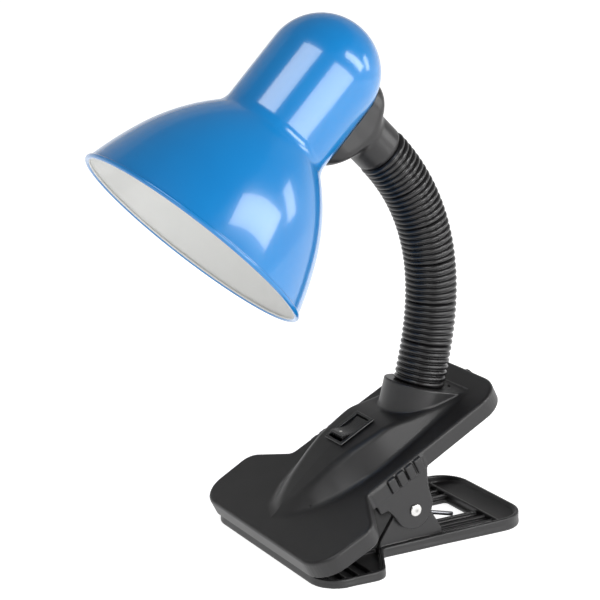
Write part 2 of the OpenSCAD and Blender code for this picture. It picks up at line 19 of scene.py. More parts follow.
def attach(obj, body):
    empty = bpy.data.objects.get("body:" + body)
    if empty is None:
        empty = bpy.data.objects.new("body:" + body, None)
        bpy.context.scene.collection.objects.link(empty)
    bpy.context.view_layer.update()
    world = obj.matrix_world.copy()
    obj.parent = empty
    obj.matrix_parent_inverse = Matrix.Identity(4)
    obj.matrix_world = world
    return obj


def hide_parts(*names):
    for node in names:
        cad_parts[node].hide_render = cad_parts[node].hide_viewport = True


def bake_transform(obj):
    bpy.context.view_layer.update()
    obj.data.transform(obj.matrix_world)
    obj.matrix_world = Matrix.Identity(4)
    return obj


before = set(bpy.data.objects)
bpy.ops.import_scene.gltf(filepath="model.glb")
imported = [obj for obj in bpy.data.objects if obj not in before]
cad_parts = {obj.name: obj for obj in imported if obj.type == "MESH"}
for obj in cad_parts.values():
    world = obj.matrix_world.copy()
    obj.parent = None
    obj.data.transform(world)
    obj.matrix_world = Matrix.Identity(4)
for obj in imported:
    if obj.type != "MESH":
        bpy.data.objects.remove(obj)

LOG = logging.getLogger("lamp")
MM = 0.001
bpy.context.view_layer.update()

Array = np.ndarray
Solid = Callable[[Array, Array, Array], Array]


# ---- Frames ------------------------------------------------------------------------------


def tilted(origin: Sequence[float], degrees: float) -> Array:
    """Gives the 4 x 4 matrix of a frame turned about +Y.

    Args:
        origin: Where the frame stands, in mm.
        degrees: Its turn about +Y; a positive turn leans +Z towards +X.

    Returns:
        The matrix that takes the frame's points to the lamp's frame.
    """
    a = math.radians(degrees)
    out = np.eye(4)
    out[0, 0], out[0, 2] = math.cos(a), math.sin(a)
    out[2, 0], out[2, 2] = -math.sin(a), math.cos(a)
    out[:3, 3] = origin
    return out


def placed(points: Array, where: Array) -> Array:
    """Moves points from a frame to the lamp's frame.

    Args:
        points: N points in the frame, in mm.
        where: The frame's matrix.

    Returns:
        The points in the lamp's frame, in mm.
    """
    return points @ where[:3, :3].T + where[:3, 3]


@dataclass(frozen=True)
class Skeleton:
    """The lamp's main lines: the jaw's tilt, the neck's bends and the shade's place."""

    pivot_h: float = 21.0
    jaw_tilt: float = 27.7
    turret: tuple[float, float] = (23.6, 71.0)
    neck_lean: float = 13.8
    neck_len: float = 124.9
    bends: tuple[float, ...] = (4.1, 8.1, 10.5, 12.3, 13.0, 12.0)
    collar_at: float = 91.5
    collar_reach: float = 50.0

    def jaw(self) -> Array:
        """Gives the upper jaw's frame: +X along the plate, +Z out of it."""
        return tilted((0, 0, self.pivot_h), -self.jaw_tilt)

    def lean(self, link: int) -> float:
        """Gives a neck link's lean from the vertical, in degrees."""
        return self.neck_lean - sum(self.bends[:link])

    def vertices(self) -> Array:
        """Gives the neck's corner points, from the turret's top to the collar, in mm."""
        joints = len(self.bends)
        points = [np.array([self.turret[0], 0.0, self.turret[1]])]
        for link in range(joints + 1):
            share = 0.5 if link in (0, joints) else 1.0
            a = math.radians(self.lean(link))
            step = share * self.neck_len / joints
            points.append(points[-1] + step * np.array([math.sin(a), 0.0, math.cos(a)]))
        return np.array(points)

    def head(self) -> Array:
        """Gives the head's frame: origin at the collar's end, +Z into the shade."""
        return tilted(self.vertices()[-1], self.lean(len(self.bends)))

    def shade(self) -> Array:
        """Gives the shade's frame: +Z from its mouth to its dome, +X towards the neck."""
        turn = tilted((-self.collar_at, 0, self.collar_reach), 90)
        return self.head() @ turn


BONES = Skeleton()


# ---- Distance fields: how the mouldings get their soft edges -----------------------------


def soft_max(a: Array, b: Array, k: float) -> Array:
    """Joins two distances as an intersection with a rounded edge.

    Args:
        a: The first distance.
        b: The second distance.
        k: Width of the rounding, in mm.

    Returns:
        The joined distance.
    """
    h = np.clip(0.5 + 0.5 * (a - b) / k, 0, 1)
    return b + (a - b) * h + k * h * (1 - h)


def soft_min(a: Array, b: Array, k: float) -> Array:
    """Joins two distances as a union whose corner is filled over about k mm."""
    return -soft_max(-a, -b, k)


def slab(plan: Array, z: Array, low: float, high: float, r: float) -> Array:
    """Gives the distance to an outline raised between two heights, with rounded edges.

    Args:
        plan: Distance to the outline.
        z: Height of each point.
        low: Height of the slab's bottom.
        high: Height of its top.
        r: Radius of its edges.

    Returns:
        The signed distance, negative inside.
    """
    over = np.abs(z - (low + high) / 2) - (high - low) / 2 + r
    out = plan + r
    return np.minimum(np.maximum(out, over), 0) + np.hypot(np.maximum(out, 0), np.maximum(over, 0)) - r


def brick(x: Array, y: Array, z: Array, low: Sequence[float], high: Sequence[float], r: float) -> Array:
    """Gives the distance to a block between two corners.

    Args:
        x: First coordinate of each point.
        y: Second coordinate.
        z: Third coordinate.
        low: The block's lowest corner.
        high: Its highest corner.
        r: Radius of its edges.

    Returns:
        The signed distance, negative inside.
    """
    total, worst = 0.0, -1e9
    for value, a, b in zip((x, y, z), low, high):
        q = np.abs(value - (a + b) / 2) - (b - a) / 2 + r
        total = total + np.maximum(q, 0) ** 2
        worst = np.maximum(worst, q)
    return np.sqrt(total) + np.minimum(worst, 0) - r


def fillets(points: Sequence[tuple[float, float, float]], steps: int = 12) -> Array:
    """Rounds an outline's corners.

    Args:
        points: The corners as (x, y, radius).
        steps: Straight pieces in each rounded corner.

    Returns:
        The rounded outline's points.
    """
    out = []
    count = len(points)
    for i, (x, y, r) in enumerate(points):
        here = np.array([x, y])
        to_last = np.array(points[i - 1][:2]) - here
        to_next = np.array(points[(i + 1) % count][:2]) - here
        a, b = to_last / np.linalg.norm(to_last), to_next / np.linalg.norm(to_next)
        half = math.acos(float(np.clip(a @ b, -1, 1))) / 2
        centre = here + (a + b) / np.linalg.norm(a + b) * r / math.sin(half)
        start = here + a * r / math.tan(half) - centre
        end = here + b * r / math.tan(half) - centre
        first = math.atan2(start[1], start[0])
        turn = (math.atan2(end[1], end[0]) - first + 3 * math.pi) % (2 * math.pi) - math.pi
        for k in range(steps + 1):
            angle = first + turn * k / steps
            out.append(centre + r * np.array([math.cos(angle), math.sin(angle)]))
    return np.array(out)


def both_sides(half: Sequence[tuple[float, float, float]]) -> list[tuple[float, float, float]]:
    """Follows a half outline with its mirror image in Y."""
    return [*half, *((x, -y, r) for x, y, r in reversed(half))]


@dataclass(frozen=True)
class Outline:
    """A closed outline that gives the signed distance to its line, negative inside."""

    points: Array

    def __call__(self, x: Array, y: Array) -> Array:
        """Measures points against the line.

        Args:
            x: First coordinate of each point.
            y: Second coordinate.

        Returns:
            The signed distance of each point.
        """
        shape = np.broadcast(x, y).shape
        best, inside = np.full(shape, 1e9), np.zeros(shape, bool)
        for a, b in zip(self.points, np.roll(self.points, -1, axis=0)):
            e = b - a
            if e @ e < 1e-9:
                continue
            px, py = x - a[0], y - a[1]
            t = np.clip((px * e[0] + py * e[1]) / (e @ e), 0, 1)
            best = np.minimum(best, (px - e[0] * t) ** 2 + (py - e[1] * t) ** 2)
            if e[1]:
                inside ^= ((a[1] > y) != (b[1] > y)) & (px < e[0] * py / e[1])
        return np.where(inside, -1, 1) * np.sqrt(best)


@dataclass(frozen=True)
class Curve:
    """A smooth line through knots, for a width or height that changes along the jaw."""

    knots: tuple[tuple[float, float], ...]
    soften: float = 3.0

    def __call__(self, x: Array) -> Array:
        """Reads the line, averaged over a short stretch so that its knots don't show.

        Args:
            x: Where to read it.

        Returns:
            The line's value at each x.
        """
        at, value = zip(*self.knots)
        shifts = np.linspace(-self.soften, self.soften, 7)
        return sum(np.interp(x + s, at, value) for s in shifts) / len(shifts)


def gradient(solid: Solid, p: Array, eps: float = 0.05) -> Array:
    """Gives the field's slope.

    Args:
        solid: The field.
        p: N points, in mm.
        eps: Half the stretch over which it is measured, in mm.

    Returns:
        The slope at each point.
    """
    out = np.empty_like(p)
    for axis in range(3):
        d = np.zeros(3)
        d[axis] = eps
        out[:, axis] = (solid(*(p + d).T) - solid(*(p - d).T)) / (2 * eps)
    return out


def cast(solid: Solid, low: Sequence[float], high: Sequence[float],
         step: float) -> tuple[Array, Array, Array]:
    """Turns a distance field into a closed quad mesh that lies on its surface.

    Args:
        solid: The field, in mm, negative inside.
        low: Lowest corner of the space to look in.
        high: Highest corner.
        step: Size of a mesh face, in mm.

    Returns:
        The points, the quads and the normals at the points.
    """
    axes = [np.arange(a, b + step, step) for a, b in zip(low, high)]
    v = np.broadcast_to(
        solid(axes[0][:, None, None], axes[1][None, :, None], axes[2][None, None, :]),
        [len(a) for a in axes],
    )
    cells = np.array(v.shape) - 1
    total, count = np.zeros((cells.prod(), 3)), np.zeros(cells.prod())
    quads = []
    for axis in range(3):
        b, c = (axis + 1) % 3, (axis + 2) % 3
        first = [slice(None)] * 3
        second = [slice(None)] * 3
        first[axis], second[axis] = slice(0, -1), slice(1, None)
        v0, v1 = v[tuple(first)], v[tuple(second)]
        at = np.argwhere((v0 < 0) != (v1 < 0))
        at = at[(at[:, b] > 0) & (at[:, c] > 0) & (at[:, b] < cells[b]) & (at[:, c] < cells[c])]
        d0, d1 = v0[tuple(at.T)], v1[tuple(at.T)]
        p = at.astype(float)
        p[:, axis] += d0 / (d0 - d1)
        around = []
        for db, dc in ((0, 0), (-1, 0), (-1, -1), (0, -1)):
            cell = at.copy()
            cell[:, b] += db
            cell[:, c] += dc
            flat = np.ravel_multi_index(cell.T, cells)
            for k in range(3):
                total[:, k] += np.bincount(flat, p[:, k], len(total))
            count += np.bincount(flat, minlength=len(count))
            around.append(flat)
        quad = np.stack(around, axis=1)
        quads.append(np.where((d0 < 0)[:, None], quad, quad[:, ::-1]))
    used = np.flatnonzero(count)
    index = np.full(len(count), -1)
    index[used] = np.arange(len(used))
    points = total[used] / count[used, None] * step + np.array([a[0] for a in axes])
    for _ in range(3):
        slope = gradient(solid, points)
        size = np.maximum((slope ** 2).sum(axis=1), 0.2)
        pull = np.clip(solid(*points.T) / size, -step / 2, step / 2)
        points = points - slope * pull[:, None]
    slope = gradient(solid, points)
    normals = slope / np.maximum(np.linalg.norm(slope, axis=1), 1e-6)[:, None]
    return points, index[np.concatenate(quads)], normals


# ---- Meshes ------------------------------------------------------------------------------


def piece(name: str, points: Array, faces: Sequence[Sequence[int]], where: Array | None = None,
          normals: Array | None = None) -> bpy.types.Object:
    """Makes a smooth mesh object.

    Args:
        name: The piece's name.
        points: Its points in mm.
        faces: Its faces as lists of point numbers.
        where: The matrix of the frame that the points are in.
        normals: The surface's own normals at the points.

    Returns:
        The new object, in the scene.
    """
    where = np.eye(4) if where is None else where
    mesh = bpy.data.meshes.new(name)
    mesh.from_pydata((placed(points, where) * MM).tolist(), [], [list(map(int, f)) for f in faces])
    mesh.polygons.foreach_set("use_smooth", np.ones(len(mesh.polygons), bool))
    mesh.update()
    if normals is not None:
        mesh.normals_split_custom_set_from_vertices((normals @ where[:3, :3].T).tolist())
    made = bpy.data.objects.new(name, mesh)
    bpy.context.scene.collection.objects.link(made)
    return made


def grid_faces(rows: int, columns: int, close_rows: bool, close_columns: bool) -> list[tuple[int, ...]]:
    """Lists the quads of a grid of points.

    Args:
        rows: Number of rows.
        columns: Number of points in a row.
        close_rows: Whether the last row joins the first.
        close_columns: Whether the last point of a row joins its first.

    Returns:
        The quads, as point numbers.
    """
    out = []
    for i in range(rows if close_rows else rows - 1):
        for j in range(columns if close_columns else columns - 1):
            k, m = (i + 1) % rows, (j + 1) % columns
            out.append((i * columns + j, i * columns + m, k * columns + m, k * columns + j))
    return out


def turned(profile: Array, sides: int) -> tuple[Array, list[tuple[int, ...]]]:
    """Turns a closed profile of (radius, height) points about +Z.

    Args:
        profile: The closed profile, anticlockwise with the axis on its left.
        sides: Number of steps round the axis.

    Returns:
        The points and the quads.
    """
    angle = np.linspace(0, 2 * math.pi, sides, endpoint=False)
    ring = np.stack([np.cos(angle), np.sin(angle)], axis=1)
    points = np.array([[r * c, r * s, z] for c, s in ring for r, z in profile])
    return points, grid_faces(sides, len(profile), True, True)


def wire(path: Array, r: float, sides: int) -> tuple[Array, list[tuple[int, ...]]]:
    """Sweeps a round wire along a path.

    Args:
        path: The wire's centre line.
        r: The wire's radius.
        sides: Number of steps round it.

    Returns:
        The points and the faces, with both ends closed.
    """
    ahead = np.gradient(path, axis=0)
    ahead /= np.linalg.norm(ahead, axis=1)[:, None]
    across = np.cross(ahead, [0.0, 1.0, 0.0])
    flat = np.linalg.norm(across, axis=1) < 0.1
    across[flat] = np.cross(ahead[flat], [1.0, 0.0, 0.0])
    across /= np.linalg.norm(across, axis=1)[:, None]
    up = np.cross(across, ahead)
    angle = np.linspace(0, 2 * math.pi, sides, endpoint=False)
    offset = np.cos(angle)[None, :, None] * across[:, None] + np.sin(angle)[None, :, None] * up[:, None]
    points = (path[:, None] + r * offset).reshape(-1, 3)
    faces = grid_faces(len(path), sides, False, True)
    last = (len(path) - 1) * sides
    ends = [tuple(range(sides - 1, -1, -1)), tuple(last + k for k in range(sides))]
    return points, [*faces, *ends]


def soften(made: bpy.types.Object, width: float) -> None:
    """Rounds a piece's sharp edges with a bevel.

    Args:
        made: The piece.
        width: The bevel's width, in mm.
    """
    bevel = made.modifiers.new("edge", "BEVEL")
    bevel.width = width * MM
    bevel.segments = 2
    bevel.limit_method = "ANGLE"
    bevel.angle_limit = math.radians(35)
    bevel.harden_normals = True
    bevel.use_clamp_overlap = True


# ---- Finishes ----------------------------------------------------------------------------


def linear(code: str) -> tuple[float, float, float, float]:
    """Turns an sRGB colour to the values that a shader takes.

    Args:
        code: The colour as a hex code, such as #ffffff.

    Returns:
        Its linear red, green, blue and alpha.
    """
    value = [int(code[i:i + 2], 16) / 255 for i in (1, 3, 5)]
    r, g, b = (v / 12.92 if v <= 0.04045 else ((v + 0.055) / 1.055) ** 2.4 for v in value)
    return r, g, b, 1.0


def add(tree: bpy.types.NodeTree, kind: str, settings: dict[str, object] | None = None,
        **links: bpy.types.NodeSocket) -> bpy.types.Node:
    """Adds a node with its settings and links.

    Args:
        tree: The material's node tree.
        kind: The node's type, without its ShaderNode prefix.
        settings: Values by socket name or property name.
        **links: Output sockets by input name, with _ for a space.

    Returns:
        The new node.
    """
    node = tree.nodes.new("ShaderNode" + kind)
    for key, value in (settings or {}).items():
        if key in node.inputs:
            node.inputs[key].default_value = value
        else:
            setattr(node, key, value)
    for key, source in links.items():
        tree.links.new(source, node.inputs[key.replace("_", " ")])
    return node


def blank(name: str) -> tuple[bpy.types.Material, bpy.types.NodeTree, bpy.types.Node]:
    """Makes an empty material.

    Args:
        name: The material's name.

    Returns:
        The material, its node tree and its output node.
    """
    made = bpy.data.materials.new(name)
    made.use_nodes = True
    made.node_tree.nodes.clear()
    return made, made.node_tree, add(made.node_tree, "OutputMaterial")


def noise(tree: bpy.types.NodeTree, place: bpy.types.NodeSocket, size: float,
          detail: float) -> bpy.types.NodeSocket:
    """Adds a noise pattern.

    Args:
        tree: The material's node tree.
        place: The socket that says where on the piece each point lies.
        size: Width of the pattern's blotches, in mm.
        detail: How many finer layers it has.

    Returns:
        The socket with the pattern's value.
    """
    return add(tree, "TexNoise", {"Scale": 1 / (size * MM), "Detail": detail}, Vector=place).outputs["Fac"]


def two_tone(tree: bpy.types.NodeTree, one: str, other: str,
             share: bpy.types.NodeSocket) -> bpy.types.NodeSocket:
    """Mixes two colours.

    Args:
        tree: The material's node tree.
        one: The colour where the share is 0, as an sRGB hex code.
        other: The colour where it is 1.
        share: The socket that says how much of the other colour shows.

    Returns:
        The socket with the mixed colour.
    """
    mix = add(tree, "Mix", {"data_type": "RGBA"})
    # A Mix node keeps its colour sockets behind those of its number and vector modes
    mix.inputs[6].default_value = linear(one)
    mix.inputs[7].default_value = linear(other)
    tree.links.new(share, mix.inputs[0])
    return mix.outputs[2]


def spread(tree: bpy.types.NodeTree, value: bpy.types.NodeSocket, low: float,
           high: float) -> bpy.types.NodeSocket:
    """Adds a node that spreads a value from 0 to 1 over low to high, and gives its socket."""
    return add(tree, "MapRange", {"To Min": low, "To Max": high}, Value=value).outputs[0]


def surface(tree: bpy.types.NodeTree, out: bpy.types.Node, settings: dict[str, object],
            **links: bpy.types.NodeSocket) -> None:
    """Puts a shader on a material's output.

    Args:
        tree: The material's node tree.
        out: Its output node.
        settings: The shader's constant values by socket name.
        **links: The sockets that feed it, by input name.
    """
    shader = add(tree, "BsdfPrincipled", settings, **links)
    tree.links.new(shader.outputs[0], out.inputs["Surface"])


class Gloss(Enum):
    """How a mould was finished, with the depth of the grain that it leaves, in mm."""

    SPARK = 0.012
    POLISHED = 0.002


@dataclass(frozen=True)
class MouldedPlastic:
    """Injection-moulded plastic, such as black ABS or white PBT.

    The mould's grain scatters highlights a little, flow marks vary the gloss over centimetres,
    and a painted highlight makes the raised edges lighter.
    """

    name: str
    base: str
    edge_highlight: str
    roughness: float
    grain: Gloss = Gloss.SPARK
    grain_mm: float = 0.45
    flow_mm: float = 18.0
    edge_highlight_most: float = 0.35

    def make(self) -> bpy.types.Material:
        """Builds the material."""
        made, tree, out = blank(self.name)
        place = add(tree, "TexCoord").outputs["Object"]
        # Drawn about twice as coarse as real spark grain, which is too fine to show
        grain = noise(tree, place, self.grain_mm, 2.0)
        flow = noise(tree, place, self.flow_mm, 3.0)
        # Only edges are pointier than 0.53; they get a painted highlight, lightest on the sharpest of them
        edge = add(tree, "NewGeometry").outputs["Pointiness"]
        edge_highlight_share = add(tree, "MapRange", {"From Min": 0.53, "From Max": 0.62, "To Max": self.edge_highlight_most},
                   Value=edge)
        bump = add(tree, "Bump", {"Strength": 0.6, "Distance": self.grain.value * MM}, Height=grain)
        surface(tree, out, {"IOR": 1.53}, Normal=bump.outputs[0],
                Roughness=spread(tree, flow, self.roughness - 0.05, self.roughness + 0.06),
                Base_Color=two_tone(tree, self.base, self.edge_highlight, edge_highlight_share.outputs[0]))
        return made


@dataclass(frozen=True)
class StovedEnamel:
    """Spray enamel stoved on spun steel.

    The clear top of the film gives sharp, deep reflections, the orange-peel waviness bends them
    faintly, and the thinner cover in places shifts the colour.
    """

    name: str
    base: str
    shallow: str
    roughness: float
    coat: float
    peel_mm: float = 2.2
    peel_depth: float = 0.004
    cloud_mm: float = 35.0

    def make(self) -> bpy.types.Material:
        """Builds the material."""
        made, tree, out = blank(self.name)
        place = add(tree, "TexCoord").outputs["Object"]
        peel = noise(tree, place, self.peel_mm, 1.0)
        cloud = noise(tree, place, self.cloud_mm, 2.0)
        bump = add(tree, "Bump", {"Strength": 0.25, "Distance": self.peel_depth * MM}, Height=peel)
        film = {"Roughness": self.roughness, "IOR": 1.5, "Coat Weight": self.coat, "Coat Roughness": 0.04,
                "Coat IOR": 1.5}
        surface(tree, out, film, Normal=bump.outputs[0],
                Base_Color=two_tone(tree, self.base, self.shallow, cloud))
        return made


@dataclass(frozen=True)
class WorkedMetal:
    """Bare or plated metal.

    The fine lines that turning, drawing or rolling left draw its highlights out, and a thin
    patina dulls it in patches.
    """

    name: str
    base: str
    dull: str
    roughness: float
    line_mm: float = 0.35
    line_depth: float = 0.006
    patina_mm: float = 6.0
    stretch: tuple[float, float, float] = (1.0, 0.08, 1.0)

    def make(self) -> bpy.types.Material:
        """Builds the material."""
        made, tree, out = blank(self.name)
        place = add(tree, "TexCoord").outputs["Object"]
        drawn = add(tree, "Mapping", {"Scale": self.stretch}, Vector=place)
        lines = noise(tree, drawn.outputs[0], self.line_mm, 3.0)
        patina = noise(tree, place, self.patina_mm, 4.0)
        bump = add(tree, "Bump", {"Strength": 0.35, "Distance": self.line_depth * MM}, Height=lines)
        surface(tree, out, {"Metallic": 1.0}, Normal=bump.outputs[0],
                Roughness=spread(tree, lines, self.roughness - 0.08, self.roughness + 0.12),
                Base_Color=two_tone(tree, self.base, self.dull, patina))
        return made


@dataclass(frozen=True)
class PrintedMark:
    """Pad-printed ink: a thin matt film whose uneven cover lets a little of the black through."""

    name: str = "pad_printed_white_ink"
    base: str = "#eceae4"
    thin: str = "#d2d0ca"
    cover_mm: float = 0.4

    def make(self) -> bpy.types.Material:
        """Builds the material."""
        made, tree, out = blank(self.name)
        place = add(tree, "TexCoord").outputs["Object"]
        cover = noise(tree, place, self.cover_mm, 2.0)
        surface(tree, out, {"Roughness": 0.5}, Base_Color=two_tone(tree, self.base, self.thin, cover))
        return made


@dataclass
class Finishes:
    """Every finish of the lamp, made once and shared by its pieces."""

    # Fine sparked grain: matt black whose highlights spread wide, with a painted grey highlight on the edges
    jaw: bpy.types.Material = field(default_factory=MouldedPlastic(
        "abs_black_spark_grain", "#141314", "#2e2d2e", 0.4).make)
    # Blown against a polished mould: a sheen that draws a bright thread along each ring, strengthened by a
    # painted highlight on the ring crests
    sleeve: bpy.types.Material = field(default_factory=MouldedPlastic(
        "polypropylene_black_sleeve", "#111011", "#343334", 0.28, Gloss.POLISHED, 0.6).make)
    # Same plastic as the jaws with a finer grain, so a little glossier, with the same painted edge highlight
    collar: bpy.types.Material = field(default_factory=MouldedPlastic(
        "abs_black_collar", "#131213", "#2a292a", 0.36, Gloss.SPARK, 0.4).make)
    # Polished nylon: the smoothest black of the lamp, with small sharp glints on the rocker, partly a painted
    # highlight on its edges
    switch: bpy.types.Material = field(default_factory=MouldedPlastic(
        "nylon_black_switch", "#101011", "#363537", 0.26, Gloss.POLISHED, 0.5).make)
    # Heat-proof PBT: warm white, half gloss, with its edges painted lighter as a highlight
    holder: bpy.types.Material = field(default_factory=MouldedPlastic(
        "pbt_white_lampholder", "#e6e2d8", "#f2efe8", 0.35, Gloss.POLISHED, 0.5).make)
    # Full gloss enamel: deep blue that mirrors the lights as clean strips
    blue: bpy.types.Material = field(default_factory=StovedEnamel(
        "enamel_blue_stoved", "#006eb0", "#0477b8", 0.22, 0.5).make)
    # Half gloss reflector enamel: an even, soft off-white
    white: bpy.types.Material = field(default_factory=StovedEnamel(
        "enamel_white_reflector", "#e2e2e0", "#dadbd9", 0.34, 0.2).make)
    # Nickel over a set steel head: a bright warm spot with slightly blurred reflections
    nickel: bpy.types.Material = field(default_factory=WorkedMetal(
        "steel_nickel_plated_rivet", "#e4e3e0", "#cfcdca", 0.26).make)
    # Zinc plate: cool grey, patchy and rather dull
    zinc: bpy.types.Material = field(default_factory=WorkedMetal(
        "steel_zinc_plated", "#c4c6c8", "#a9acb0", 0.36).make)
    # Hard-drawn wire: dark steel, with die lines that stretch the highlights along the coil
    spring: bpy.types.Material = field(default_factory=WorkedMetal(
        "spring_steel_drawn_wire", "#8d8e92", "#6c6d71", 0.32, 0.25).make)
    # Pressed brass: yellow and fairly bright, browner where it has tarnished
    brass: bpy.types.Material = field(default_factory=WorkedMetal(
        "brass_pressed", "#d9b25c", "#b98f45", 0.3).make)
    # One thin coat of pad ink: flat off-white
    ink: bpy.types.Material = field(default_factory=PrintedMark().make)


def dress(made: bpy.types.Object, *materials: bpy.types.Material) -> bpy.types.Object:
    """Gives an object its materials.

    Args:
        made: The object.
        *materials: The materials, in slot order.

    Returns:
        The same object.
    """
    made.data.materials.clear()
    for material in materials:
        made.data.materials.append(material)
    return made


def node(name: str) -> bpy.types.Object:
    """Gives the object of a CAD node."""
    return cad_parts[name]


def dress_node(name: str, material: bpy.types.Material, edge: float = 0.0) -> None:
    """Gives a carried-over CAD node its finish.

    Args:
        name: The node's name.
        material: Its finish.
        edge: Width of the bevel on its edges, in mm; 0 leaves them sharp.
    """
    made = dress(node(name), material)
    if edge:
        soften(made, edge)
    LOG.info("%s: carried over", name)


def settle(made: bpy.types.Object, body: str, *nodes: str) -> None:
    """Lets a piece ride on a body, and reports it.

    Args:
        made: The piece.
        body: The body that carries it.
        *nodes: The CAD nodes that it stands for.
    """
    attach(made, body)
    if nodes:
        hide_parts(*nodes)
    LOG.info("%s: %d faces on %s", made.name, len(made.data.polygons), body)


# ---- The lower jaw -----------------------------------------------------------------------


@dataclass(frozen=True)
class LowerJaw:
    """The tray-like lower jaw: floor, rim, ribs, finger rest and two inner ears.

    The plan is half the outline from the mouth's corner to the handle's, as (x, y, corner radius).
    """

    plan: tuple[tuple[float, float, float], ...] = (
        (-62, 54.5, 13), (-29.5, 55.5, 8), (-17.5, 33.7, 4), (68, 35, 15))
    floor: float = 2.0
    wall: float = 2.0
    rim: tuple[float, float] = (4.0, 6.6)
    rib: float = 1.6
    rib_foot: float = 0.5
    cross_rib: float = 51.0
    cross_rib_half: float = 33.0
    cross_rib_top: float = 5.0
    long_rib_from: float = 11.0
    long_rib_top: float = 4.0
    long_ribs: tuple[float, ...] = (13.5, 20.5, 27.0)
    mouth_ribs: tuple[float, ...] = (-56.0, -49.0, -42.0, -35.0)
    mouth_rib_top: float = 3.6
    mouth_rib_half: float = 51.5
    side_rib: float = 29.0
    side_rib_end: float = 12.0
    rest_from: float = 52.0
    rest_low: float = 2.4
    rest_climb: float = 2.6
    ear_y: float = 31.7
    ear_t: float = 2.5
    ear_r: float = 9.2
    ear_foot: tuple[tuple[float, float], ...] = (
        (-20, 0), (20, 0), (17.5, 8), (8.4, 22.5), (-8.4, 22.5), (-18, 8))
    pin_hole: float = 2.15
    window: tuple[float, float, float] = (16, 49, 11)
    step: float = 0.8

    def rim_height(self, x: Array) -> Array:
        """Gives the height of the rim, which climbs evenly from the mouth to the handle."""
        start, end = self.plan[0][0], self.plan[-1][0]
        return self.rim[0] + (x - start) / (end - start) * (self.rim[1] - self.rim[0])

    def ribs(self, x: Array, y: Array, z: Array) -> Array:
        """Gives the distance to the ribs on the floor.

        Args:
            x: Place along the jaw.
            y: Place across it.
            z: Height.

        Returns:
            The signed distance, negative inside.
        """
        side, half, foot = np.abs(y), self.rib / 2, self.rib_foot
        end, mouth = self.cross_rib, self.mouth_ribs[0]
        wide, start = self.cross_rib_half, self.long_rib_from
        d = brick(x, y, z, (end - half, -wide, foot), (end + half, wide, self.cross_rib_top), 0.5)
        for at in self.long_ribs:
            low, high = (start, at - half, foot), (end, at + half, self.long_rib_top)
            d = np.minimum(d, brick(x, side, z, low, high, 0.5))
        low, high = self.side_rib - half, self.side_rib + half
        top = self.mouth_rib_top
        d = np.minimum(d, brick(x, side, z, (mouth, low, foot), (self.side_rib_end, high, top), 0.4))
        for at in self.mouth_ribs:
            low, high = (at - half, -1, foot), (at + half, self.mouth_rib_half, top)
            d = np.minimum(d, brick(x, side, z, low, high, 0.4))
        return d

    def ears(self, x: Array, y: Array, z: Array) -> Array:
        """Gives the distance to the two ears that the pin passes through.

        Args:
            x: Place along the jaw.
            y: Place across it.
            z: Height.

        Returns:
            The signed distance, negative inside.
        """
        disc = np.hypot(x, z - BONES.pivot_h) - self.ear_r
        foot = Outline(np.array(self.ear_foot))(x, z)
        face = soft_min(disc, foot + 0.4, 3.0)
        return slab(face, np.abs(y), self.ear_y - self.ear_t, self.ear_y, 0.5)

    def solid(self, x: Array, y: Array, z: Array) -> Array:
        """Gives the distance to the whole jaw.

        Args:
            x: Place along the jaw.
            y: Place across it.
            z: Height.

        Returns:
            The signed distance, negative inside.
        """
        plan = Outline(fillets(both_sides(self.plan)))(x, y)
        base = slab(plan, z, 0, self.floor, 0.6)
        wall = soft_max(slab(plan, z, 0, 20, 0.6), -(plan + self.wall), 0.6)
        d = soft_min(base, soft_max(wall, z - self.rim_height(x), 0.8), 0.8)
        d = soft_min(d, np.maximum(self.ribs(x, y, z), plan + 1), 0.5)
        # Finger rest: a shallow dish that climbs to the rear rim
        climb = np.clip((x - self.rest_from - 1) / 13, 0, 1)
        top = self.rest_low + self.rest_climb * climb ** 2
        rest = np.maximum(np.maximum(self.rest_from - x, z - top), np.maximum(plan + 1, -z))
        d = soft_min(d, rest, 1.0)
        d = soft_min(d, self.ears(x, y, z), 0.8)
        x0, x1, half = self.window
        d = soft_max(d, -brick(x, y, z, (x0, -half, -9), (x1, half, 9), 1.5), 0.5)
        return soft_max(d, self.pin_hole - np.hypot(x, z - BONES.pivot_h), 0.3)

    def build(self, looks: Finishes) -> None:
        """Makes the jaw and lets it stand for its CAD node.

        Args:
            looks: The lamp's finishes.
        """
        points, faces, normals = cast(self.solid, (-64, -59, -2), (72, 59, 32), self.step)
        points[:, 2] = np.maximum(points[:, 2], 0)
        points[:, 0] = np.minimum(points[:, 0], self.plan[-1][0])
        made = piece("lower_jaw_moulding", points, faces, normals=normals)
        settle(dress(made, looks.jaw), "lower_jaw", "lower_jaw")


# ---- The upper jaw -----------------------------------------------------------------------


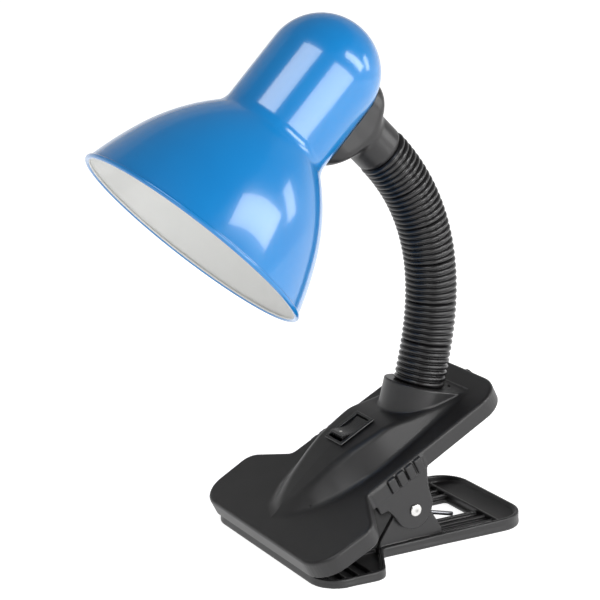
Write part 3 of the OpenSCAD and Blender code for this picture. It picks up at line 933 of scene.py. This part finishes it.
@dataclass(frozen=True)
class UpperJaw:
    """The upper jaw with its hump, turret, ears and grip ribs, in the jaw's own frame.

    The frame stands on the pin, with +X along the plate towards the handle and +Z out of it. The
    plan is half the outline, as (x, y, corner radius). Base and ridge give the hump's half width
    on the plate and at its crest, and height gives its rise, all along x. The switch hole is
    (front, rear, half width), and the rear pad, which holds the gland, (front, half width, foot).
    """

    plan: tuple[tuple[float, float, float], ...] = (
        (-64, 56.5, 14), (-31, 58, 9), (-18.5, 34.5, 4), (69.5, 33.5, 16))
    top: float = 24.0
    plate: float = 2.5
    wall: float = 2.0
    wall_low: float = 15.0
    side: float = 34.5
    ear_t: float = 2.5
    ear_r: float = 9.5
    ear_web: tuple[tuple[float, float], ...] = (
        (-8.6, -3), (9, -3), (13.2, 10), (16, 16), (16, 22.5), (-17, 22.5), (-17, 9.6), (-12.8, 8.8))
    pin_hole: float = 2.1
    grip_count: int = 4
    grip_from: float = -6.7
    grip_pitch: float = 5.4
    grip_width: float = 4.4
    turret_r: float = 17.0
    turret_rear: float = 15.0
    turret_wall: float = 3.0
    turret_roof: float = 3.2
    seat_r: float = 12.8
    seat_clear: float = 15.0
    switch_hole: tuple[float, float, float] = (-8.1, 11.1, 6.6)
    rear_pad: tuple[float, float, float] = (65.0, 8.0, 11.5)
    hump_end: float = 58.0
    hump_skin: float = 2.2
    gland_at: float = 16.6
    gland_r: float = 4.4
    base: Curve = Curve((
        (-56, -4.0), (-52.5, 0.0), (-51, 4.2), (-48, 8.6), (-43, 12.8), (-36, 17.6), (-23, 22.2),
        (-10, 24.3), (2, 24.5), (22, 22.7), (47.6, 19.7), (57, 17.5)), 1.6)
    ridge: Curve = Curve((
        (-54, -2.0), (-50, 2.4), (-45, 5.2), (-34, 9.0), (-18, 12.2), (-5, 15.0), (8, 17.2),
        (24, 18.0), (57, 16.0)), 4.0)
    height: Curve = Curve((
        (-54, -0.2), (-50, 1.0), (-45, 2.8), (-34, 6.4), (-18, 10.4), (-8, 12.0), (12, 12.0),
        (17, 10.8), (24, 8.4), (38, 4.8), (56, 0.6), (60, -1.0)), 2.0)
    step: float = 0.75

    def hump(self, x: Array, y: Array, z: Array, grow: float = 0.0) -> Array:
        """Gives the distance to the hump, which is bow-shaped at the mouth's end.

        Args:
            x: Place along the jaw.
            y: Place across it.
            z: Height over its pin.
            grow: How far the form stands out beyond the hump, in mm.

        Returns:
            The signed distance, negative inside.
        """
        foot, crest = self.base(x) + grow, self.ridge(x) + grow / 2
        tall = np.maximum(self.height(x) + grow, 0.3)
        lean = np.maximum(foot - crest, 0.5)
        out = ((np.abs(y) - foot) * tall + np.maximum(z - self.top, 0) * lean) / np.hypot(tall, lean)
        d = soft_max(out, z - self.top - tall + 0.02 * np.abs(y), 2.0)
        return np.maximum(d, x - self.hump_end - grow)

    def on_turret(self, x: Array, z: Array) -> tuple[Array, Array]:
        """Measures points from the middle of the turret's sloping top.

        Args:
            x: Place along the jaw.
            z: Height over its pin.

        Returns:
            Each point's place along the slope, and its height over it.
        """
        lean = math.radians(BONES.neck_lean + BONES.jaw_tilt)
        at = np.linalg.inv(BONES.jaw()) @ np.array([BONES.turret[0], 0, BONES.turret[1], 1])
        u, n = x - at[0], z - at[2]
        return u * math.cos(lean) - n * math.sin(lean), u * math.sin(lean) + n * math.cos(lean)

    def turret(self, x: Array, y: Array, z: Array, grow: float = 0.0, drop: float = 0.0) -> Array:
        """Gives the distance to the turret: round in front, straight-sided behind the neck.

        Args:
            x: Place along the jaw.
            y: Place across it.
            z: Height over its pin.
            grow: How far the form stands out beyond the turret's side, in mm.
            drop: How far it ends below the turret's top, in mm.

        Returns:
            The signed distance, negative inside.
        """
        across, rise = self.on_turret(x, z)
        out = np.hypot(np.minimum(across, 0), y) - self.turret_r - grow
        out = np.maximum(out, across - self.turret_rear - 3 * grow)
        return soft_max(out, rise + drop, 0.9)

    def ear(self, x: Array, y: Array, z: Array) -> Array:
        """Gives the distance to the two ears.

        Args:
            x: Place along the jaw.
            y: Place across it.
            z: Height over its pin.

        Returns:
            The signed distance, negative inside.
        """
        disc = np.hypot(x, z) - self.ear_r
        web = Outline(np.array(self.ear_web))(x, z)
        return slab(soft_min(disc, web + 0.3, 3.5), np.abs(y), self.side - self.ear_t, self.side, 0.6)

    def grip(self, x: Array, y: Array, z: Array) -> Array:
        """Gives the distance to the grip ribs beside the plate.

        Args:
            x: Place along the jaw.
            y: Place across it.
            z: Height over its pin.

        Returns:
            The signed distance, negative inside.
        """
        side = np.abs(y)
        low_y, high_y = self.side - 3.5, self.side + 1.3
        low_z, high_z = self.wall_low + 0.4, self.top - 1.0
        d = low_y + 0.5 - side
        ribs = [brick(x, side, z, (at, low_y, low_z), (at + self.grip_width, high_y, high_z), 0.7)
                for at in (self.grip_from + self.grip_pitch * k for k in range(self.grip_count))]
        return np.maximum(np.minimum.reduce(ribs), d)

    def shell(self, x: Array, y: Array, z: Array) -> Array:
        """Gives the distance to the plate with its side wall, hump, turret, ears and ribs, all solid.

        Args:
            x: Place along the jaw.
            y: Place across it.
            z: Height over its pin.

        Returns:
            The signed distance, negative inside.
        """
        plan = Outline(fillets(both_sides(self.plan)))(x, y)
        low = self.top - self.plate
        d = soft_max(slab(plan, z, 0, self.top, 1.5), self.wall_low - z, 0.7)
        d = soft_max(d, -slab(plan + self.wall, z, -9, low, 0.8), 0.6)
        form = soft_min(self.hump(x, y, z), self.turret(x, y, z), 0.8)
        d = soft_min(d, np.maximum(form, low + 0.5 - z), 1.3)
        d = soft_min(d, self.ear(x, y, z), 0.7)
        start, half, foot = self.rear_pad
        rear = brick(x, y, z, (start, -half, foot), (self.plan[-1][0], half, self.top - 1), 0.8)
        return np.minimum(soft_min(d, rear, 0.8), self.grip(x, y, z))

    def solid(self, x: Array, y: Array, z: Array) -> Array:
        """Gives the distance to the whole jaw, hollowed and with its holes.

        Args:
            x: Place along the jaw.
            y: Place across it.
            z: Height over its pin.

        Returns:
            The signed distance, negative inside.
        """
        across, rise = self.on_turret(x, z)
        # The hump's hollow stays clear of the sleeve's seat on the turret
        clear = np.minimum(self.seat_clear - np.hypot(across, y), rise + self.turret_roof)
        under = np.maximum(self.hump(x, y, z, -self.hump_skin), clear)
        hollow = np.minimum(under, self.turret(x, y, z, -self.turret_wall, self.turret_roof))
        d = soft_max(self.shell(x, y, z), -np.maximum(hollow, self.top - self.plate - 3 - z), 0.5)
        start, end, half = self.switch_hole
        d = soft_max(d, -brick(x, y, z, (start, -half, 20), (end, half, 60), 0.3), 0.3)
        d = soft_max(d, self.pin_hole - np.hypot(x, z), 0.3)
        seat = np.maximum(np.hypot(across, y) - self.seat_r, 0.01 - rise)
        gland = np.maximum(np.hypot(y, z - self.gland_at) - self.gland_r, 62 - x)
        return soft_max(d, -np.minimum(seat, gland), 0.2)

    def build(self, looks: Finishes) -> None:
        """Makes the jaw and lets it stand for its CAD node.

        Args:
            looks: The lamp's finishes.
        """
        points, faces, normals = cast(self.solid, (-67, -60, -11), (73, 60, 46), self.step)
        made = piece("upper_jaw_moulding", points, faces, BONES.jaw(), normals)
        settle(dress(made, looks.jaw), "upper_jaw", "upper_jaw")
        dress_node("jaw_cover", looks.jaw, 0.5)
        dress_node("cover_screws", looks.zinc, 0.15)
        dress_node("cord_gland", looks.switch, 0.3)


# ---- Pivot, spring and switch ------------------------------------------------------------


@dataclass(frozen=True)
class Pivot:
    """The rivet through the ears, its washers, and the torsion spring that shuts the jaws."""

    pin_r: float = 2.1
    face_r: float = 1.9
    head_r: float = 3.0
    head_h: float = 1.15
    ear_face: float = 34.5
    coil_r: float = 6.2
    wire_r: float = 1.1
    coil_half: float = 14.0
    turns: int = 11
    upper_arm: float = 45.7
    lower_arm: float = -14.5
    arm: float = 38.0

    def rivet(self, looks: Finishes) -> None:
        """Makes the rivet with its two set heads, and finishes its washers.

        Args:
            looks: The lamp's finishes.
        """
        face = self.ear_face + 0.02
        top = face + self.head_h
        half = [(0.0, top), (self.face_r, top - 0.06), (self.head_r - 0.35, top - 0.28),
                (self.head_r, top - 0.62), (self.head_r, face), (self.pin_r, face)]
        profile = np.array([*((r, -z) for r, z in half), *reversed(half)])
        points, faces = turned(profile, 40)
        made = piece("pivot_rivet_set", points, faces, self.across())
        settle(dress(made, looks.nickel), "upper_jaw", "pivot_rivet")
        dress_node("rivet_washers", looks.zinc, 0.1)

    def across(self) -> Array:
        """Gives the frame whose +Z lies along the pin."""
        out = np.eye(4)
        out[:3, :3] = [[1, 0, 0], [0, 0, 1], [0, -1, 0]]
        out[:3, 3] = (0, 0, BONES.pivot_h)
        return out

    def on_coil(self, degrees: Array, y: Array) -> Array:
        """Gives points on the coil's cylinder.

        Args:
            degrees: Their angles round the pin, from +X towards +Z.
            y: Their places along the pin, in mm.

        Returns:
            The points, in mm.
        """
        a = np.radians(degrees)
        return np.stack([self.coil_r * np.cos(a), y, BONES.pivot_h + self.coil_r * np.sin(a)], axis=-1)

    def spring(self, looks: Finishes) -> None:
        """Makes the spring, which lies between the two jaws and rides on neither.

        Args:
            looks: The lamp's finishes.
        """
        start = 270 + self.lower_arm
        sweep = 360 * self.turns - 180 + self.upper_arm - self.lower_arm
        t = np.linspace(0, 1, 36 * self.turns)
        coil = self.on_coil(start - sweep * t, self.coil_half * (2 * t - 1))
        reach = np.linspace(self.arm, 1, 12)[:, None]
        low, high = (np.array([math.cos(math.radians(a)), 0, math.sin(math.radians(a))])
                     for a in (self.lower_arm, self.upper_arm))
        path = np.concatenate([coil[0] + reach * low, coil, coil[-1] + reach[::-1] * high])
        made = piece("torsion_spring_wire", *wire(path, self.wire_r, 12))
        dress(made, looks.spring)
        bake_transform(made)
        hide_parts("torsion_spring")
        LOG.info("%s: twists between the jaws", made.name)

    def build(self, looks: Finishes) -> None:
        """Makes the rivet and the spring."""
        self.rivet(looks)
        self.spring(looks)


@dataclass(frozen=True)
class Switch:
    """The snap-in rocker switch on the hump."""

    at: float = 1.5
    crown: float = 36.0
    pivot_n: float = 34.4
    lean: float = 11.0
    half_l: float = 8.0
    half_w: float = 5.2
    dish: float = 2.15
    dish_rise: float = 1.5 / 49
    dot_at: float = -5.2

    def housing(self, looks: Finishes) -> None:
        """Makes the bezel, which slopes down to the hump all round, and its well.

        Args:
            looks: The lamp's finishes.
        """
        def solid(x: Array, y: Array, z: Array) -> Array:
            """Gives the distance to the housing.

            Args:
                x: Place along the switch.
                y: Place across it.
                z: Height over the jaw's pin.

            Returns:
                The signed distance, negative inside.
            """
            rise = z - self.crown
            bezel = brick(x, y, rise, (-10.5, -7.5, 0.02), (10.5, 7.5, 1.32), 0.55)
            body = brick(x, y, rise, (-9.5, -6.5, -11), (9.5, 6.5, 0.5), 0.3)
            well = brick(x, y, rise, (-8.9, -5.6, -7.5), (8.9, 5.6, 9), 0.4)
            return soft_max(np.minimum(bezel, body), -well, 0.25)

        where = BONES.jaw() @ tilted((self.at, 0, 0), 0)
        points, faces, normals = cast(solid, (-12, -9, 23), (12, 9, 39), 0.3)
        made = piece("switch_bezel", points, faces, where, normals)
        settle(dress(made, looks.switch), "upper_jaw", "switch_housing")
        dress_node("switch_terminals", looks.brass, 0.1)

    def rocker(self, looks: Finishes) -> None:
        """Makes the dished rocker with its two stubs and a printed dot.

        Args:
            looks: The lamp's finishes.
        """
        def solid(x: Array, y: Array, z: Array) -> Array:
            """Gives the distance to the rocker: a block over a drum-shaped keel, and the stubs.

            Args:
                x: Place along the rocker.
                y: Place across it.
                z: Height over its axis.

            Returns:
                The signed distance, negative inside.
            """
            dish = z - self.dish - self.dish_rise * x ** 2
            drum = np.hypot(x / 0.86, (z - 0.6) * self.half_l / 4.6) - self.half_l
            block = brick(x, y, z, (-self.half_l, -self.half_w, 1.0), (self.half_l, self.half_w, 3.7), 0.4)
            keel = slab(np.minimum(drum * 0.57, 9), np.abs(y), -9, self.half_w, 0.3)
            d = soft_max(np.minimum(block, np.maximum(keel, z - 2)), dish, 0.5)
            return np.minimum(d, np.maximum(np.hypot(x, z) - 1.2, np.abs(y) - 6.1))

        where = BONES.jaw() @ tilted((self.at, 0, self.pivot_n), self.lean)
        points, faces, normals = cast(solid, (-9, -7, -5), (9, 7, 5), 0.25)
        made = piece("switch_rocker", points, faces, where, normals)
        settle(dress(made, looks.switch), "rocker", "rocker")
        rim = np.array([(0, 0.02), (0, 0.07), (0.55, 0.07), (0.7, 0.04), (0.72, 0.0)])
        points, faces = turned(rim, 24)
        lift = self.dish + self.dish_rise * self.dot_at ** 2
        slope = math.degrees(math.atan(-2 * self.dish_rise * self.dot_at))
        mark = piece("switch_dot", points, faces, where @ tilted((self.dot_at, 0, lift), slope))
        settle(dress(mark, looks.ink), "rocker")

    def build(self, looks: Finishes) -> None:
        """Makes the housing and the rocker."""
        self.housing(looks)
        self.rocker(looks)


# ---- The gooseneck -----------------------------------------------------------------------


@dataclass(frozen=True)
class Gooseneck:
    """The corrugated sleeve over its steel core, one stretch for each hinge of the chain."""

    r: float = 12.5
    groove: float = 1.35
    crest_share: float = 0.43
    inner_r: float = 10.2
    links: int = 6
    rings: int = 7
    per_ring: int = 12
    sides: int = 72

    def ring_line(self) -> Array:
        """Gives one stretch's profile: round crests with narrow grooves, as (share, radius)."""
        t = np.linspace(0, self.rings, self.rings * self.per_ring + 1)
        phase = (t % 1) - 0.5
        crest = np.sqrt(np.maximum(1 - (phase / self.crest_share) ** 2, 0))
        return np.stack([t / self.rings, self.r - self.groove * (1 - crest)], axis=1)

    def stretch(self, name: str, a: Array, b: Array, c: Array, looks: Finishes) -> bpy.types.Object:
        """Makes the sleeve from a to c, bent over the corner b.

        Args:
            name: The piece's name.
            a: Where the stretch starts.
            b: The hinge's centre.
            c: Where it ends.
            looks: The lamp's finishes.

        Returns:
            The new piece, in the lamp's frame and riding on no body.
        """
        line = self.ring_line()
        line = np.concatenate([line, [[1.0, self.inner_r]], [[0.0, self.inner_r]]])
        s = line[:, :1]
        centre = (1 - s) ** 2 * a + 2 * s * (1 - s) * b + s ** 2 * c
        ahead = (1 - s) * (b - a) + s * (c - b)
        ahead /= np.linalg.norm(ahead, axis=1)[:, None]
        across = np.cross([0.0, 1.0, 0.0], ahead)
        angle = np.linspace(0, 2 * math.pi, self.sides, endpoint=False)[:, None, None]
        spokes = np.cos(angle) * across + np.sin(angle) * np.array([0.0, 1.0, 0.0])
        points = (centre + spokes * line[:, 1:]).reshape(-1, 3)
        made = piece(name, points, grid_faces(self.sides, len(line), True, True))
        return dress(made, looks.sleeve)

    def build(self, looks: Finishes) -> None:
        """Makes a stretch over each hinge, and finishes the core and its fittings.

        Args:
            looks: The lamp's finishes.
        """
        corners, last = BONES.vertices(), self.links
        for k in range(1, last + 1):
            a = corners[0] if k == 1 else (corners[k - 1] + corners[k]) / 2
            c = corners[-1] if k == last else (corners[k] + corners[k + 1]) / 2
            made = self.stretch(f"neck_sleeve_stretch_{k}", a, corners[k], c, looks)
            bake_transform(made)
            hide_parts(f"neck_sleeve_{k}", *(["neck_sleeve_0"] if k == 1 else []))
        for k in range(last + 1):
            dress_node(f"neck_core_{k}", looks.zinc)
        for name in ("neck_base_ferrule", "neck_base_nut", "neck_top_ferrule", "neck_top_nut"):
            dress_node(name, looks.zinc, 0.2)


# ---- The head ----------------------------------------------------------------------------


@dataclass(frozen=True)
class Saddle:
    """The black foot between neck and shade: a hollowed bulge with a round collar."""

    cap_r: float = 27.0
    dome_at: float = 97.4
    at: float = BONES.collar_at
    foot_at: float = 88.5
    foot_side: float = 11.0
    bulge_at: float = 12.0
    bulge_r: float = 26.2
    bulge_stretch: float = 1.1
    half: float = 13.0
    collar_r: float = 12.1
    collar_from: float = 20.0
    end: float = 49.9
    taper: tuple[float, float] = (2.2, 0.9)
    bore_r: float = 5.0

    def solid(self, x: Array, y: Array, z: Array) -> Array:
        """Gives the distance to the saddle, in the shade's frame.

        Args:
            x: Place out from the shade's axis towards the neck.
            y: Place across the lamp.
            z: Height from the shade's mouth.

        Returns:
            The signed distance, negative inside.
        """
        rise = z - self.foot_at
        bulge = np.sqrt((x - self.bulge_at) ** 2 + y ** 2 + (rise / self.bulge_stretch) ** 2) - self.bulge_r
        stadium = np.hypot(np.maximum(np.abs(rise) - self.foot_side, 0), y) - self.half
        foot = soft_max(bulge, stadium, 2.5)
        neck = np.hypot(y, z - self.at)
        length, fall = self.taper
        r = self.collar_r - fall * np.clip((x - self.end + length) / length, 0, 1)
        collar = soft_max(neck - r, np.maximum(x - self.end, self.collar_from - x), 0.6)
        d = soft_min(foot, collar, 3.0)
        cap = np.sqrt(x ** 2 + y ** 2 + np.maximum(z - self.dome_at, 0) ** 2) - self.cap_r - 0.05
        d = soft_max(d, -cap, 0.4)
        return soft_max(d, self.bore_r - neck, 0.3)

    def build(self, looks: Finishes) -> None:
        """Makes the saddle and lets it stand for its CAD node.

        Args:
            looks: The lamp's finishes.
        """
        points, faces, normals = cast(self.solid, (8, -17, 60), (53, 17, 116), 0.5)
        made = piece("shade_saddle_moulding", points, faces, BONES.shade(), normals)
        settle(dress(made, looks.collar), "head", "shade_saddle")


@dataclass(frozen=True)
class Shade:
    """The spun steel shade: bell, cylinder and dome in one sheet, with a rolled rim."""

    mouth_r: float = 59.2
    cap_r: float = 27.0
    dome_at: float = 97.3
    sheet: float = 0.8
    bead: float = 1.2
    slope: float = 14.0
    arcs: tuple[tuple[float, float], ...] = ((170.0, 27.0), (100.0, 36.5))
    sides: int = 160

    arc_steps: int = 22
    dome_steps: int = 32

    def line(self) -> Array:
        """Gives the outer line as (height, radius, slope in radians) from mouth to dome."""
        out = []
        z, r, a = self.bead, self.mouth_r - 0.8, math.radians(self.slope)

        def arc(radius: float, b: float) -> tuple[float, float, float]:
            """Gives the point where the slope of an arc from (z, r, a) has become b."""
            return z + radius * (math.sin(b) - math.sin(a)), r - radius * (math.cos(a) - math.cos(b)), b

        for radius, length in self.arcs:
            steps = self.arc_steps
            out.extend([arc(radius, a + length * k / steps / radius) for k in range(steps)])
            z, r, a = arc(radius, a + length / radius)
        # The throat curves the other way, into the straight cap
        throat = (r - self.cap_r) / (1 - math.cos(a))
        out.extend([arc(-throat, b) for b in np.linspace(a, 0, 14)])
        out.extend((h, self.cap_r, 0.0) for h in np.linspace(out[-1][0] + 3, self.dome_at - 2, 10))
        for b in np.linspace(0, math.pi / 2 - 0.012, self.dome_steps):
            out.append((self.dome_at + self.cap_r * math.sin(b), self.cap_r * math.cos(b), b))
        return np.array(out)

    def build(self, looks: Finishes) -> None:
        """Makes the shade: blue outside and round the bead, off-white inside.

        Args:
            looks: The lamp's finishes.
        """
        height, radius, slope = self.line().T
        outer = np.stack([radius, height], axis=1)
        inner = outer - self.sheet * np.stack([np.cos(slope), np.sin(slope)], axis=1)
        turn = np.radians(np.linspace(40, -200, 16))
        bead = np.array([self.mouth_r - self.bead, self.bead]) + self.bead * np.stack(
            [np.cos(turn), np.sin(turn)], axis=1)
        profile = np.concatenate([inner[::-1], bead[::-1], outer])
        points, faces = turned(profile, self.sides)
        made = piece("shade_spun", points, faces, BONES.shade())
        dress(made, looks.blue, looks.white)
        # The white reaches three steps into the bead
        inside = np.arange(len(faces)) % len(profile) < len(inner) + 3
        slots = inside.astype(np.int32)
        made.data.polygons.foreach_set("material_index", slots)
        settle(made, "head", "shade")


@dataclass(frozen=True)
class Lampholder:
    """The screw lampholder inside the shade's cap."""

    shell_r: float = 13.4
    thickness: float = 0.6
    span: tuple[float, float] = (68.0, 87.5)
    thread_pitch: float = 3.62
    thread_depth: float = 0.5
    thread_fade: float = 1.5
    rows: int = 97
    sides: int = 72

    def build(self, looks: Finishes) -> None:
        """Makes the threaded shell and finishes the other parts.

        Args:
            looks: The lamp's finishes.
        """
        low, high = self.span
        z = np.linspace(low, high, self.rows)
        angle = np.linspace(0, 2 * math.pi, self.sides, endpoint=False)
        wave = np.cos(2 * math.pi * (z[None] / self.thread_pitch) - angle[:, None])
        fade = np.clip(np.minimum(z - low, high - z) / self.thread_fade, 0, 1)[None]
        inner = self.shell_r + self.thread_depth * 0.5 * (1 + wave) * fade
        rows = np.concatenate([inner[:, ::-1], inner + self.thickness * 0.6], axis=1)
        heights = np.concatenate([z[::-1], z])
        points = np.stack([rows * np.cos(angle)[:, None], rows * np.sin(angle)[:, None],
                           np.broadcast_to(heights, rows.shape)], axis=2).reshape(-1, 3)
        faces = grid_faces(self.sides, len(heights), True, True)
        made = piece("screw_shell_threaded", points, faces, BONES.shade())
        settle(dress(made, looks.brass), "head", "screw_shell")
        for name in ("holder_body", "holder_base"):
            dress_node(name, looks.holder, 0.4)
        for name in ("holder_bracket", "bracket_screws"):
            dress_node(name, looks.zinc, 0.15)
        for name in ("terminal_screws", "centre_contact"):
            dress_node(name, looks.brass, 0.15)


# ---- Studio ------------------------------------------------------------------------------


@dataclass(frozen=True)
class Softbox:
    """A soft rectangular light aimed at the lamp, with its place and size in metres."""

    name: str
    at: tuple[float, float, float]
    size: tuple[float, float]
    watts: float
    roll: float = 0.0
    target: tuple[float, float, float] = (-0.06, 0.0, 0.2)

    def build(self) -> None:
        """Makes the light."""
        data = bpy.data.lights.new(self.name, "AREA")
        data.shape = "RECTANGLE"
        data.size, data.size_y = self.size
        data.energy = self.watts
        made = bpy.data.objects.new(self.name, data)
        made.location = self.at
        aim = Vector(self.target) - Vector(self.at)
        turn = aim.to_track_quat("-Z", "Y") @ Quaternion((0, 0, 1), math.radians(self.roll))
        made.rotation_euler = turn.to_euler()
        bpy.context.scene.collection.objects.link(made)


@dataclass(frozen=True)
class Studio:
    """A pale sweep, four soft lights and the camera, in metres."""

    camera_at: tuple[float, float, float] = (-0.4586, -0.7166, 0.3383)
    target: tuple[float, float, float] = (-0.043, 0.0, 0.1212)
    lens: float = 111.2
    sensor: float = 36.0
    sweep: float = 6.0
    bend_r: float = 1.5
    sink: float = 0.0002
    sky: float = 0.2
    lights: tuple[Softbox, ...] = (
        Softbox("key_strip", (0.76, -0.88, 0.69), (0.9, 0.3), 7.0, -53.0),
        Softbox("left_strip", (-0.71, -0.41, 1.25), (0.9, 0.3), 6.0, -18.0),
        Softbox("side_panel", (1.14, -0.44, 0.47), (0.22, 0.4), 1.6),
        Softbox("front_strip", (0.24, -1.26, 0.36), (1.15, 0.3), 7.5, -44.0),
    )

    def paper(self) -> bpy.types.Material:
        """Makes the sweep's paper, whose fine fibre breaks up its flatness a little."""
        made, tree, out = blank("paper_white_sweep")
        place = add(tree, "TexCoord").outputs["Object"]
        fibre = noise(tree, place, 3.0, 3.0)
        height = add(tree, "SeparateXYZ", Vector=place).outputs["Z"]
        # The paper glows round the lamp and falls off up the walls, so that black plastic stays black
        glow = add(tree, "MapRange", {"From Min": 0.1, "From Max": 2.0, "To Min": 0.85, "To Max": 0.06},
                   Value=height)
        matt = {"Roughness": 0.9, "Specular IOR Level": 0.1, "Emission Color": linear("#ffffff")}
        surface(tree, out, matt, Base_Color=spread(tree, fibre, 0.6, 0.63),
                Emission_Strength=glow.outputs[0])
        return made

    def backdrop(self) -> None:
        """Makes a floor that curves up into a wall on every side."""
        r, bend = self.sweep, self.bend_r
        curve = [(r - bend * (1 - math.sin(a)), bend * (1 - math.cos(a)))
                 for a in np.radians(np.linspace(0, 90, 16))]
        line = [(0.01, 0.0), (r / 2, 0.0), *curve, (r, r)]
        angle = np.linspace(0, 2 * math.pi, 96, endpoint=False)
        points = np.array([[q * math.cos(a), q * math.sin(a), z - self.sink] for a in angle for q, z in line])
        floor = piece("floor", points / MM, grid_faces(len(angle), len(line), True, False))
        dress(floor, self.paper())

    def sky_light(self) -> None:
        """Makes the faint even light from above the walls."""
        world = bpy.data.worlds.new("studio")
        world.use_nodes = True
        background = world.node_tree.nodes["Background"]
        background.inputs["Color"].default_value = linear("#ffffff")
        background.inputs["Strength"].default_value = self.sky
        bpy.context.scene.world = world

    def camera(self) -> None:
        """Makes the camera and aims it at the lamp."""
        data = bpy.data.cameras.new("camera")
        data.lens, data.sensor_width = self.lens, self.sensor
        data.clip_start, data.clip_end = 0.01, 50
        made = bpy.data.objects.new("camera", data)
        made.location = self.camera_at
        aim = Vector(self.target) - Vector(self.camera_at)
        made.rotation_euler = aim.to_track_quat("-Z", "Y").to_euler()
        bpy.context.scene.collection.objects.link(made)
        bpy.context.scene.camera = made

    def build(self) -> None:
        """Makes the sweep, the lights and the camera."""
        self.backdrop()
        for light in self.lights:
            light.build()
        self.sky_light()
        bpy.context.scene.view_settings.view_transform = "Standard"
        self.camera()


def main() -> None:
    """Builds the lamp's sub-assemblies in order, and the studio round them."""
    logging.basicConfig(level=logging.INFO, format="%(name)s %(message)s")
    Studio().build()
    looks = Finishes()
    for part in (LowerJaw(), UpperJaw(), Pivot(), Switch(), Gooseneck(), Saddle(), Shade(), Lampholder()):
        part.build(looks)
        LOG.info("%s done", type(part).__name__)


if __name__ == "__main__":
    main()
